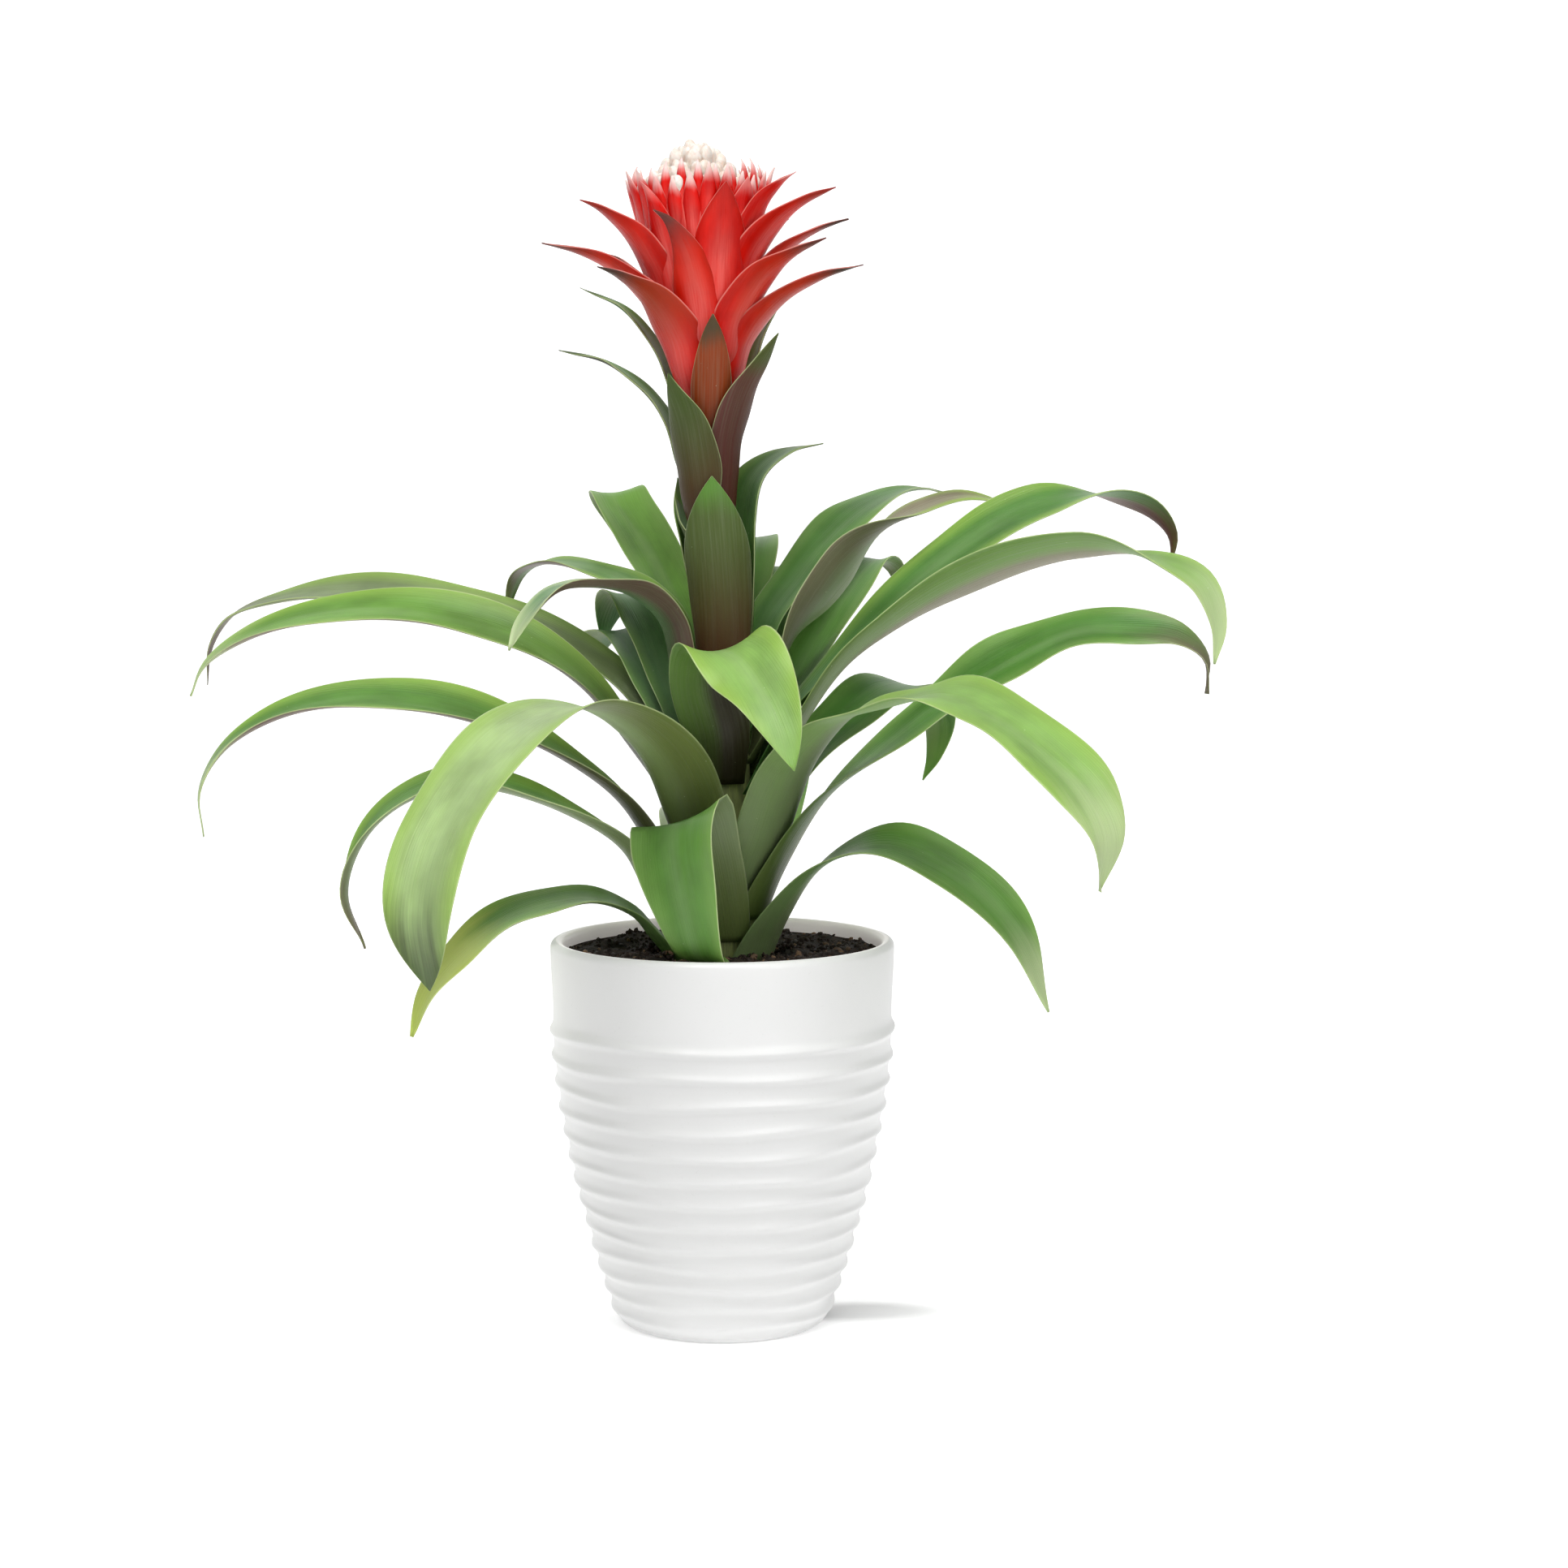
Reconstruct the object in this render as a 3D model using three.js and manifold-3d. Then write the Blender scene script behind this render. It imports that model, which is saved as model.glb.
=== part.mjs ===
// Potted bromeliad: a strap-leaved tank plant in bloom, in a ribbed white ceramic pot.
// Millimetres, +Z up, origin at the middle of the pot's flat base. The plant's axis is the Z axis,
// and an azimuth is in degrees from +X towards +Y; the viewer stands at -Y.
import * as THREE from 'three';
import { mergeVertices } from 'three/addons/utils/BufferGeometryUtils.js';
import Module from 'manifold-3d';

// Driving dimensions
const POT_HEIGHT = 142;
const POT_WALL = 4;
const POT_FLOOR = 6;
const BAND_RADIUS = 62.4;
const BAND_BOTTOM = 110;
const BASE_RADIUS = 38.4;
const BELLY_POWER = 1.55;
const RIB_COUNT = 13;
const TOP_RIB = 109.4;
const TOP_RIB_STEP = 9.8;
const RIB_STEP_LOSS = 0.21;
const RIB_RELIEF = 1.3;
const RIB_WANDER = 0.7;
const POT_SIDES = 28;
const SOIL_TOP = 137;
const STEM_FOOT = 72;
const STEM_TOP = 327;
const STALK_SWAY = 4.5;
const SWAY_FOOT = 250;
const HEAD_LEAN = 2.5;
const LEAF_THICKNESS = 1;
const FOOT_WRAP = 58;
const COLLAR_RISE = 18;
const COLLAR_LEAN = 0.42;
const ROW_LENGTH = 16;
const GAP = 0.3;

const TAU = 2 * Math.PI;
const GOLDEN_TURN = Math.PI * (3 - Math.sqrt(5));
const radians = THREE.MathUtils.degToRad;
const blend = (from, to, x) => THREE.MathUtils.smoothstep(x, from, to);

const wasm = await Module();
wasm.setup();

const finish = (color, roughness) => new THREE.MeshStandardMaterial({ color, roughness, metalness: 0 });
const glaze = finish('#ecebe8', 0.35);
const peat = finish('#1c120c', 0.95);
const stalk = finish('#5c6a35', 0.6);
const leafGreen = finish('#5f9655', 0.5);
const leafBright = finish('#8fbf62', 0.5);
const leafDark = finish('#46693c', 0.5);
const leafMaroon = finish('#5b3a34', 0.5);
const bractRed = finish('#d8321f', 0.45);
const floretWhite = finish('#f4eee6', 0.5);

const plant = new THREE.Group();

function addNode(name, geometry, material) {
  const mesh = new THREE.Mesh(geometry, material);
  mesh.name = name;
  plant.add(mesh);
  return mesh;
}

// A closed outline of [radius, height] points turned about the Z axis.
function turned(outline, sides) {
  const points = outline.map(([radius, height]) => new THREE.Vector2(radius, height));
  return new THREE.LatheGeometry(points, sides).rotateX(Math.PI / 2);
}

// The pot: a plain band over a belly that draws in towards the foot.
function wallRadius(height) {
  const down = Math.max(0, 1 - height / BAND_BOTTOM);
  return BAND_RADIUS - (BAND_RADIUS - BASE_RADIUS) * down ** BELLY_POWER;
}

function ribHeights() {
  const heights = [];
  let height = TOP_RIB;
  for (let rib = 0; rib < RIB_COUNT; rib += 1) {
    heights.push(height);
    height -= TOP_RIB_STEP - RIB_STEP_LOSS * rib;
  }
  return heights;
}

// Inner wall from the lip down to the floor, shared by the pot and the soil.
function innerWall(inset, top) {
  const heights = [top, 95, 60, 30, POT_FLOOR];
  return heights.map((height) => [wallRadius(height) - POT_WALL - inset, height]);
}

function makePot() {
  const outline = [[0, 0], [BASE_RADIUS - 1.6, 0], [BASE_RADIUS + 0.4, 1.4]];
  for (const rib of ribHeights().reverse()) {
    // Each rib is a soft ledge: a short under side, the crest, then a long upper flank.
    outline.push([wallRadius(rib - 2.2) + 0.05, rib - 2.2]);
    outline.push([wallRadius(rib) + RIB_RELIEF, rib]);
    outline.push([wallRadius(rib + 2.6) + 0.35 * RIB_RELIEF, rib + 2.6]);
  }
  outline.push([BAND_RADIUS + 0.1, TOP_RIB + 6]);
  outline.push([BAND_RADIUS + 0.9, POT_HEIGHT - 3]);
  outline.push([BAND_RADIUS + 0.4, POT_HEIGHT - 0.6]);
  outline.push([BAND_RADIUS - 1.4, POT_HEIGHT]);
  outline.push([BAND_RADIUS - POT_WALL + 0.4, POT_HEIGHT - 1]);
  outline.push(...innerWall(0, POT_HEIGHT - 4), [0, POT_FLOOR]);
  const geometry = turned(outline, POT_SIDES);
  // The ribs wander a little up and down round the pot.
  const place = geometry.attributes.position;
  for (let i = 0; i < place.count; i += 1) {
    const turn = Math.atan2(place.getY(i), place.getX(i));
    const height = place.getZ(i);
    const radius = Math.hypot(place.getX(i), place.getY(i));
    const outside = radius > wallRadius(height) - 1;
    if (outside && height > 2.5 && height < TOP_RIB + 4) {
      place.setZ(i, height + RIB_WANDER * Math.sin(2 * turn + height / 9) * Math.sin(turn + height / 30));
    }
  }
  addNode('pot', geometry, glaze);
}

function stemRadius(height) {
  const foot = 15;
  const rosetteTop = 7;
  const top = 6;
  if (height <= 141) return foot;
  if (height <= 245) return THREE.MathUtils.mapLinear(height, 141, 245, foot, rosetteTop);
  return THREE.MathUtils.mapLinear(height, 245, STEM_TOP, rosetteTop, top);
}

// The flower stalk sways a little to the left as it rises out of the rosette.
function swayed(geometry) {
  const place = geometry.attributes.position;
  for (let i = 0; i < place.count; i += 1) {
    place.setX(i, place.getX(i) - STALK_SWAY * blend(SWAY_FOOT, STEM_TOP, place.getZ(i)));
  }
  return geometry;
}

function makeSoilAndStem() {
  const hole = stemRadius(0) + GAP;
  const soil = [[0, POT_FLOOR + GAP]];
  soil.push(...innerWall(GAP, SOIL_TOP).reverse().map(([r, z], i) => [r, i === 0 ? z + GAP : z]));
  // The hole opens out at the top to let the lowest leaf feet through.
  soil.push([hole + 11, SOIL_TOP], [hole + 3, SOIL_TOP - 9], [hole, SOIL_TOP - 12], [hole, STEM_FOOT - GAP]);
  soil.push([0, STEM_FOOT - GAP]);
  addNode('soil', turned(soil, POT_SIDES), peat);
  const stem = [[0, STEM_FOOT], [stemRadius(0) - 4, STEM_FOOT], [stemRadius(0), STEM_FOOT + 6]];
  for (const height of [141, 193, 245, 262, 278, 294, 310, STEM_TOP]) {
    stem.push([stemRadius(height), height]);
  }
  stem.push([0, STEM_TOP]);
  addNode('stem', swayed(turned(stem, 16)), stalk);
}

// A strap leaf. Its midrib is a smooth curve through the root on the stem, a collar that leans
// away from it, and the listed points [out, up] or [out, up, side], in its own azimuth. Across, it
// is an arc: at the root the arc is bent round the stem's axis, and it opens to a shallow channel.
class Strap {
  constructor(leaf, columns) {
    this.columns = columns;
    this.width = leaf.width ?? 27;
    this.neck = leaf.neck ?? 0.8;
    this.belly = leaf.belly ?? 0.6;
    this.taper = leaf.taper ?? 1.7;
    this.point = leaf.point ?? 1;
    this.channel = radians(leaf.channel ?? 26);
    this.roll = leaf.roll ?? [0, 0];
    this.twist = leaf.twist ?? [0.5, 1];
    this.wave = leaf.wave ?? 0;
    this.thickness = leaf.thickness ?? LEAF_THICKNESS;
    this.fewest = leaf.fewest ?? 5;
    const turn = radians(leaf.azimuth);
    this.outward = new THREE.Vector3(Math.cos(turn), Math.sin(turn), 0);
    this.sideward = new THREE.Vector3(-Math.sin(turn), Math.cos(turn), 0);
    const wrap = radians(leaf.wrap ?? FOOT_WRAP);
    const seat = leaf.seat ?? stemRadius(leaf.root);
    const foot = (seat + GAP + this.thickness / 2) / Math.cos(wrap / columns);
    this.footHalf = foot * wrap;
    const lean = leaf.lean ?? COLLAR_LEAN;
    const collar = leaf.collar ?? COLLAR_RISE;
    const path = [[foot, leaf.root], [foot + lean * collar, leaf.root + collar], ...leaf.path];
    const points = path.map(([out, up, side = 0]) => new THREE.Vector3(0, 0, up)
      .addScaledVector(this.outward, out)
      .addScaledVector(this.sideward, side));
    this.midrib = new THREE.CatmullRomCurve3(points);
    this.length = this.midrib.getLength();
  }

  halfWidth(u) {
    const blade = this.neck + (1 - this.neck) * blend(0.25, this.belly, u);
    const past = Math.max(0, (u - this.belly) / (1 - this.belly));
    const free = 0.4 + (this.width / 2) * blade * Math.max(0, 1 - past ** this.taper) ** this.point;
    return THREE.MathUtils.lerp(this.footHalf, free, blend(0, 0.25, u));
  }

  // A point of the middle surface: u from root to tip, v from -1 to 1 across.
  at(u, v) {
    const centre = this.midrib.getPointAt(u);
    const along = this.midrib.getTangentAt(u);
    const side = this.sideward.clone().addScaledVector(along, -this.sideward.dot(along)).normalize();
    const inner = along.clone().cross(side);
    const [rollMid, rollTip] = this.roll;
    const [twistFrom, twistTo] = this.twist;
    const roll = radians(rollMid * blend(0.12, 0.5, u) + (rollTip - rollMid) * blend(twistFrom, twistTo, u));
    const across = side.clone().multiplyScalar(Math.cos(roll)).addScaledVector(inner, Math.sin(roll));
    const above = inner.clone().multiplyScalar(Math.cos(roll)).addScaledVector(side, -Math.sin(roll));
    const open = blend(0, 0.22, u);
    const towards = this.outward.clone().multiplyScalar(open - 1).addScaledVector(above, open).normalize();
    const half = this.halfWidth(u);
    const reach = Math.max(4, centre.dot(this.outward));
    const channel = this.channel * blend(0, 0.15, u) * (1 - 0.5 * u);
    const bend = ((half / reach) ** 4 + channel ** 4) ** 0.25;
    const radius = half / bend;
    const ripple = this.wave * v * v * blend(0.3, 0.6, u) * Math.sin(TAU * 4 * u + (v > 0 ? 0 : 1.9));
    return centre
      .addScaledVector(across, radius * Math.sin(bend * v))
      .addScaledVector(towards, radius * (1 - Math.cos(bend * v)))
      .addScaledVector(above, ripple);
  }

  normalAt(u, v) {
    const step = 0.004;
    const low = Math.max(0, u - step);
    const high = Math.min(1, u + step);
    const along = this.at(high, v).sub(this.at(low, v));
    const across = this.at(u, Math.min(1, v + step)).sub(this.at(u, Math.max(-1, v - step)));
    return along.cross(across).normalize();
  }

  // The closed blade: an upper and a lower face split alike, joined round the edge.
  solid() {
    const columns = this.columns;
    const rows = THREE.MathUtils.clamp(Math.round(this.length / ROW_LENGTH), this.fewest, 18);
    const place = [];
    for (const face of [0.5, -0.5]) {
      for (let row = 0; row <= rows; row += 1) {
        for (let column = 0; column <= columns; column += 1) {
          const u = row / rows;
          const v = (2 * column) / columns - 1;
          const point = this.at(u, v).addScaledVector(this.normalAt(u, v), face * this.thickness);
          place.push(point.x, point.y, point.z);
        }
      }
    }
    const under = (rows + 1) * (columns + 1);
    const corner = (row, column) => row * (columns + 1) + column;
    const index = [];
    const quad = (a, b, c, d) => index.push(a, b, c, a, c, d);
    for (let row = 0; row < rows; row += 1) {
      for (let column = 0; column < columns; column += 1) {
        const [a, b] = [corner(row, column), corner(row + 1, column)];
        index.push(a, b, b + 1, a, b + 1, a + 1);
        index.push(a + under, b + 1 + under, b + under, a + under, a + 1 + under, b + 1 + under);
      }
      const [left, leftNext] = [corner(row, 0), corner(row + 1, 0)];
      const [right, rightNext] = [corner(row, columns), corner(row + 1, columns)];
      quad(left, left + under, leftNext + under, leftNext);
      quad(right, rightNext, rightNext + under, right + under);
    }
    for (let column = 0; column < columns; column += 1) {
      const [foot, tip] = [corner(0, column), corner(rows, column)];
      quad(foot, foot + 1, foot + 1 + under, foot + under);
      quad(tip, tip + under, tip + 1 + under, tip + 1);
    }
    const geometry = new THREE.BufferGeometry();
    geometry.setAttribute('position', new THREE.Float32BufferAttribute(place, 3));
    geometry.setIndex(index);
    return geometry;
  }
}

// Rosette leaves, from the lowest and outermost up. Distances are from the axis, heights from the base.
const rosette = [
  { name: 'leaf_left_low', azimuth: 187, root: 131, roll: [-15, -30], lean: 0.85, collar: 12,
    path: [[33, 151], [47, 157], [62, 156], [80, 150], [97, 137], [108, 124], [114, 108]],
    material: leafGreen },
  { name: 'leaf_right_low', azimuth: -30, root: 131, roll: [25, 20], width: 25,
    path: [[38, 168], [55, 178], [70, 180], [88, 175], [105, 165], [120, 149], [131, 125]],
    material: leafGreen },
  { name: 'leaf_back_low', azimuth: 97, root: 134, wrap: 50,
    path: [[45, 172], [70, 182], [98, 176], [118, 158], [128, 136]], material: leafGreen },
  { name: 'leaf_left_lower', azimuth: 200, root: 138, roll: [-12, 22], lean: 0.6,
    channel: 46,
    path: [[38, 176], [59, 190], [85, 200], [103, 202], [122, 195], [134, 183], [140, 165], [134, 145]],
    material: leafGreen },
  { name: 'leaf_front_low', azimuth: -108, root: 143, width: 38, channel: 20, neck: 0.9, belly: 0.42,
    roll: [22, 0],
    path: [[35, 178, 0], [43, 189, -1], [50, 182, 0], [54, 160, 5], [51, 143, 9], [40, 139.4, 10],
      [27, 139.2, 9]],
    material: leafBright },
  { name: 'leaf_back_lower', azimuth: 78, root: 145,
    path: [[46, 188], [76, 204], [108, 204], [134, 188], [146, 164]], material: leafGreen },
  { name: 'leaf_right_mid', azimuth: -18, root: 150.5, roll: [38, 34],
    path: [[39, 194], [62, 214], [84, 231], [108, 246], [130, 256], [152, 257], [168, 255],
      [177, 247], [177, 235]],
    material: leafGreen },
  { name: 'leaf_left_mid', azimuth: 192, root: 155, roll: [-25, 0], lean: 0.55, belly: 0.5,
    channel: 46,
    path: [[38, 193], [55, 207], [80, 221], [110, 230], [140, 231], [163, 225], [180, 214],
      [188, 200], [187, 184]],
    material: leafGreen },
  { name: 'leaf_front_right', azimuth: -48, root: 160, width: 30, neck: 1, belly: 0.72, taper: 2.2,
    roll: [14, 10], lean: 0.5,
    path: [[38, 206], [60, 224], [88, 232], [113, 236], [137, 230], [158, 219], [175, 207],
      [184, 193], [181, 176]],
    material: leafBright },
  { name: 'leaf_right_back', azimuth: 42, root: 164, roll: [20, -20],
    path: [[39, 204], [63, 220], [85, 231], [102, 230], [114, 218], [112, 203], [106, 194]],
    material: leafGreen },
  { name: 'leaf_front_left', azimuth: -120, root: 168, width: 31, neck: 1, belly: 0.8, taper: 2.6,
    path: [[35, 207], [55, 221], [80, 230], [106, 232], [135, 226], [160, 212], [180, 193],
      [188, 172], [183, 148]],
    material: leafBright },
  { name: 'leaf_back_mid', azimuth: 101, root: 172,
    path: [[40, 216], [66, 236], [98, 244], [130, 236], [152, 216], [160, 192]],
    material: leafGreen },
  { name: 'leaf_left_high', azimuth: 172, root: 176, roll: [-30, -20], channel: 46,
    path: [[34, 213], [52, 236], [72, 250], [100, 259], [130, 262], [157, 259], [180, 251],
      [195, 241], [201, 230]],
    material: leafGreen },
  { name: 'leaf_left_top', azimuth: 148, root: 180, roll: [-25, -20], width: 24, channel: 36,
    path: [[31.5, 219, -3], [50, 237, -4], [84, 255, 3], [120, 264.5, 10], [154, 268, 18], [185, 265, 26],
      [207, 258, 32], [216, 246, 34], [217, 231, 35]],
    material: leafGreen },
  { name: 'leaf_right_high', azimuth: -9, root: 184, roll: [-25, 60], twist: [0.68, 0.92],
    path: [[30, 221], [45, 243], [62, 257], [85, 271], [110, 281], [135, 285], [158, 281],
      [173, 273], [179, 258], [178, 244]],
    material: leafGreen },
  { name: 'leaf_back_left_short', azimuth: 128, root: 187, lean: 0.5,
    path: [[34, 226], [48, 243], [60, 252], [73, 252], [83, 244], [89, 231]],
    material: leafGreen },
  { name: 'leaf_back_right_short', azimuth: 44, root: 191.5, lean: 0.46,
    path: [[36, 232], [52, 252], [67, 269], [82, 280], [93, 277], [97, 266]],
    material: leafGreen },
  { name: 'leaf_right_top', azimuth: 6, root: 196, roll: [28, -42], twist: [0.7, 0.93],
    path: [[29, 228], [45, 246], [62, 263], [83, 281], [107, 296], [130, 304], [148, 304],
      [161, 299], [168, 290], [168, 280]],
    material: leafDark },
  { name: 'leaf_front_folded', azimuth: -95, root: 200, width: 30, channel: 18, wave: 1, neck: 0.9,
    roll: [14, 0], wrap: 50,
    path: [[22, 236, -4], [27, 246, -2], [34, 249, 3], [44, 246, 11], [55, 237, 19], [65, 225, 26],
      [73, 210, 31]],
    material: leafBright },
  { name: 'leaf_back_left_dark', azimuth: 123, root: 198.5, lean: 0.56,
    path: [[35, 235], [50, 256], [62, 266], [73, 266], [81, 258], [85, 247]],
    material: leafDark },
  { name: 'leaf_back_right_inner', azimuth: 65, root: 203, lean: 0.56,
    path: [[35, 243], [52, 262], [71, 274], [90, 274], [102, 265], [108, 251]],
    material: leafGreen },
  { name: 'leaf_right_inner', azimuth: 15, root: 207, roll: [-55, 18], twist: [0.5, 0.75], width: 24,
    belly: 0.4, lean: 0.47,
    path: [[26, 250], [38, 268], [52, 284], [70, 297], [90, 304], [104, 303], [116, 299]],
    material: leafGreen },
  { name: 'leaf_back_tall', azimuth: 82, root: 210.5, lean: 0.5,
    path: [[30, 249], [44, 269], [62, 285], [82, 288], [99, 277], [107, 261]], material: leafGreen },
  { name: 'leaf_back_left_tall', azimuth: 119, root: 214.3, lean: 0.4, roll: [0, -18],
    path: [[24.5, 250], [39, 267], [58, 285], [76, 299], [87, 306, -2], [98, 303, -8],
      [106, 292, -15], [109, 278, -22]],
    material: leafBright },
  { name: 'leaf_right_back_tall', azimuth: 48, root: 218.5, roll: [10, 0], width: 22, lean: 0.34,
    path: [[24, 257], [42, 274], [58, 287], [78, 299], [100, 306], [118, 308], [133, 307]],
    material: leafGreen },
  { name: 'leaf_left_inner_front', azimuth: 215, root: 219.5, width: 22, roll: [5, 0], lean: 0.46,
    channel: 40, path: [[24, 259], [38, 269], [58, 272], [72, 270], [84, 260], [90, 250]],
    material: leafGreen },
  { name: 'leaf_left_inner_back', azimuth: 149.5, root: 224, width: 21, roll: [-8, 0],
    path: [[22, 260], [36, 270], [60, 277.5, -2], [83, 279, -6], [96, 274, -9], [102, 261, -10]],
    material: leafGreen },
];

// Leaves of the flower stalk: the lower ones clasp it upright, the upper ones are thin and curve away.
const stalkLeaves = [
  { name: 'stalk_leaf_front_tall', azimuth: -88, root: 229, width: 29, lean: 0.12, belly: 0.5, taper: 2.6,
    wrap: 52, path: [[12.5, 268], [14.5, 288], [14.8, 302], [14.2, 311]], material: leafMaroon },
  { name: 'stalk_leaf_right', azimuth: 38, root: 236, width: 22, lean: 0.12, wrap: 50,
    path: [[13, 276], [15, 295], [20, 310], [34, 320], [54, 324]], material: leafDark },
  { name: 'stalk_leaf_back_low', azimuth: 130, root: 244, width: 20, lean: 0.12, wrap: 45,
    path: [[12, 280], [15.5, 298], [19, 311]], material: leafDark },
  { name: 'stalk_leaf_left_sliver', azimuth: 160, root: 266, width: 17, lean: 0.1, collar: 8, wrap: 40,
    path: [[10, 287], [13, 297], [14, 304]], material: leafDark },
  { name: 'stalk_leaf_left_front', azimuth: -122, root: 284, width: 22, lean: 0.2, belly: 0.45, wrap: 46,
    path: [[12, 314], [16, 330], [27, 347]], material: leafMaroon },
  { name: 'stalk_leaf_right_front', azimuth: -45, root: 295, width: 18, lean: 0.16, belly: 0.4, wrap: 42,
    path: [[12, 325], [19, 342], [35, 361]], material: leafMaroon },
  { name: 'stalk_leaf_back_high', azimuth: 97, root: 298, width: 13, lean: 0.24, belly: 0.4, wrap: 24,
    path: [[13.5, 328], [21, 346], [33, 360]], material: leafDark },
  { name: 'stalk_leaf_left_thin', azimuth: 156, root: 303, width: 12, lean: 0.4, collar: 12, belly: 0.3,
    wrap: 28, path: [[16, 330], [25, 342], [41, 353], [61, 358]], material: leafDark },
  { name: 'stalk_leaf_right_thin', azimuth: 30, root: 308, width: 12, lean: 0.3, collar: 12, belly: 0.3,
    wrap: 26, path: [[14, 336], [18, 352], [24, 366], [31, 376]], material: leafDark },
  { name: 'stalk_leaf_front_top', azimuth: -86, root: 312, width: 15, lean: 0.2, collar: 12, belly: 0.5,
    taper: 2.2, wrap: 46, path: [[14.5, 341], [19.5, 355], [22.5, 368]], material: leafMaroon },
  { name: 'stalk_leaf_left_top', azimuth: 152, root: 314, width: 12, lean: 0.3, collar: 12, belly: 0.3,
    wrap: 28, path: [[15, 344], [23, 360], [36, 373], [54, 381]], material: leafDark },
];

// Red bracts of the head: [azimuth, root, out, top, aside, width], heights above the head's foot. Each
// hugs the head, then swings out to a thin tip that may lie a little aside.
const bracts = [
  [-128, 5, 47.5, 57.5, -9, 22], [-20, 4, 61, 55.5, 0, 19], [-46, 10, 58, 63.5, 5, 21],
  [-94, 15, 28, 77, -14, 21], [-8, 20, 54, 73, 0, 18], [-162, 14, 59, 68, 0, 20],
  [-148, 28, 49, 81.5, 0, 21], [-69, 26, 28, 86, 0, 24], [-30, 32, 56, 82, 0, 20],
  [-38, 44, 44, 88, 0, 15], [-125, 34, 30, 88, -4, 18], [-48, 38, 27, 88, 0, 18],
  [100, 6, 46, 59, 0, 21], [45, 8, 40, 64, 0, 20], [132, 10, 42, 56, 0, 20],
  [176, 22, 34, 65, 0, 18], [75, 20, 44, 74, 0, 19], [122, 24, 42, 79, 0, 19],
  [22, 24, 35, 76, 0, 18], [95, 36, 36, 87, 0, 18], [52, 34, 38, 86, 0, 18],
];
const BRACT_PATH = [[0, 0.28], [0.05, 0.54], [0.3, 0.8], [0.66, 0.94], [1, 1]];

// Inner ring of narrow bracts round the mouth of the head, and the florets that fill it
const INNER_BRACTS = 6;
const FLORETS = 33;
const FLORET_LENGTH = 19;
const FLORET_GIRTH = 2.8;
const RIM_TILT = 30;
const HEAD_FOOT = 7.4;
const HEAD_SPREAD = 15.6;
const CORE_SHARE = 0.84;
const CORE_TOP = 70;
const DOME_RADIUS = 14.5;
const DOME_TOP = 88;
const DOME_DROP = 15;

// How far the bracts' bodies stand from the axis, and the core under them.
const headRadius = (height) => HEAD_FOOT + HEAD_SPREAD * (height / 72) ** 1.12;
const coreRadius = (height) => CORE_SHARE * headRadius(height);

// Solids for joining and cutting
function asManifold(geometry) {
  const bare = geometry.clone();
  bare.deleteAttribute('normal');
  bare.deleteAttribute('uv');
  const merged = mergeVertices(bare, 1e-4);
  const vertProperties = new Float32Array(merged.attributes.position.array);
  const triVerts = new Uint32Array(merged.index.array);
  return new wasm.Manifold(new wasm.Mesh({ numProp: 3, vertProperties, triVerts }));
}

// The biggest outer skin of fused solids: sealed hollows are filled and loose scraps dropped.
function fused(geometries) {
  const joined = geometries.map(asManifold).reduce((sum, solid) => sum.add(solid));
  const pieces = joined.decompose();
  const biggest = pieces.reduce((best, piece) => (piece.volume() > best.volume() ? piece : best));
  const { vertProperties, triVerts } = biggest.getMesh();
  const geometry = new THREE.BufferGeometry();
  geometry.setAttribute('position', new THREE.BufferAttribute(vertProperties, 3));
  geometry.setIndex(new THREE.BufferAttribute(triVerts, 1));
  return geometry;
}

function bractSolid([azimuth, root, out, top, aside, width], columns) {
  const foot = coreRadius(root) - 1;
  // Lower bracts lie a little over higher ones.
  const over = 0.07 * (28 - root);
  const [collar, ...path] = BRACT_PATH.map(([share, up]) => {
    const height = root + up * (top - root);
    const reach = headRadius(height) + over * (1 - share) + share * (out - headRadius(top));
    return [reach, height, share * aside];
  });
  const roll = -10 * Math.cos(radians(azimuth));
  const upright = aside === 0 && out <= 30;
  const bract = new Strap({
    azimuth, root, width, path, seat: foot - 0.8, collar: collar[1] - root,
    lean: (collar[0] - foot) / (collar[1] - root), roll: [roll, roll], neck: 0.85, channel: 34, wrap: 40,
    fewest: 4,
    belly: upright ? 0.5 : 0.42, taper: upright ? 2 : 1.35, point: upright ? 1 : 1.2,
  }, columns);
  return bract.solid();
}

// Florets stand on a dome, upright in the middle and tilted out at the rim.
function floretSolid(index) {
  const share = Math.sqrt((index + 0.5) / FLORETS);
  const outline = [[0, 0], [1.4, 0], [FLORET_GIRTH, 0.6 * FLORET_LENGTH],
    [0.8 * FLORET_GIRTH, 0.9 * FLORET_LENGTH], [0, FLORET_LENGTH]];
  return turned(outline, 5)
    .rotateZ(index)
    .rotateY(radians(RIM_TILT * share))
    .translate(DOME_RADIUS * share, 0, DOME_TOP - DOME_DROP * share ** 1.3)
    .rotateZ(index * GOLDEN_TURN);
}

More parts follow.
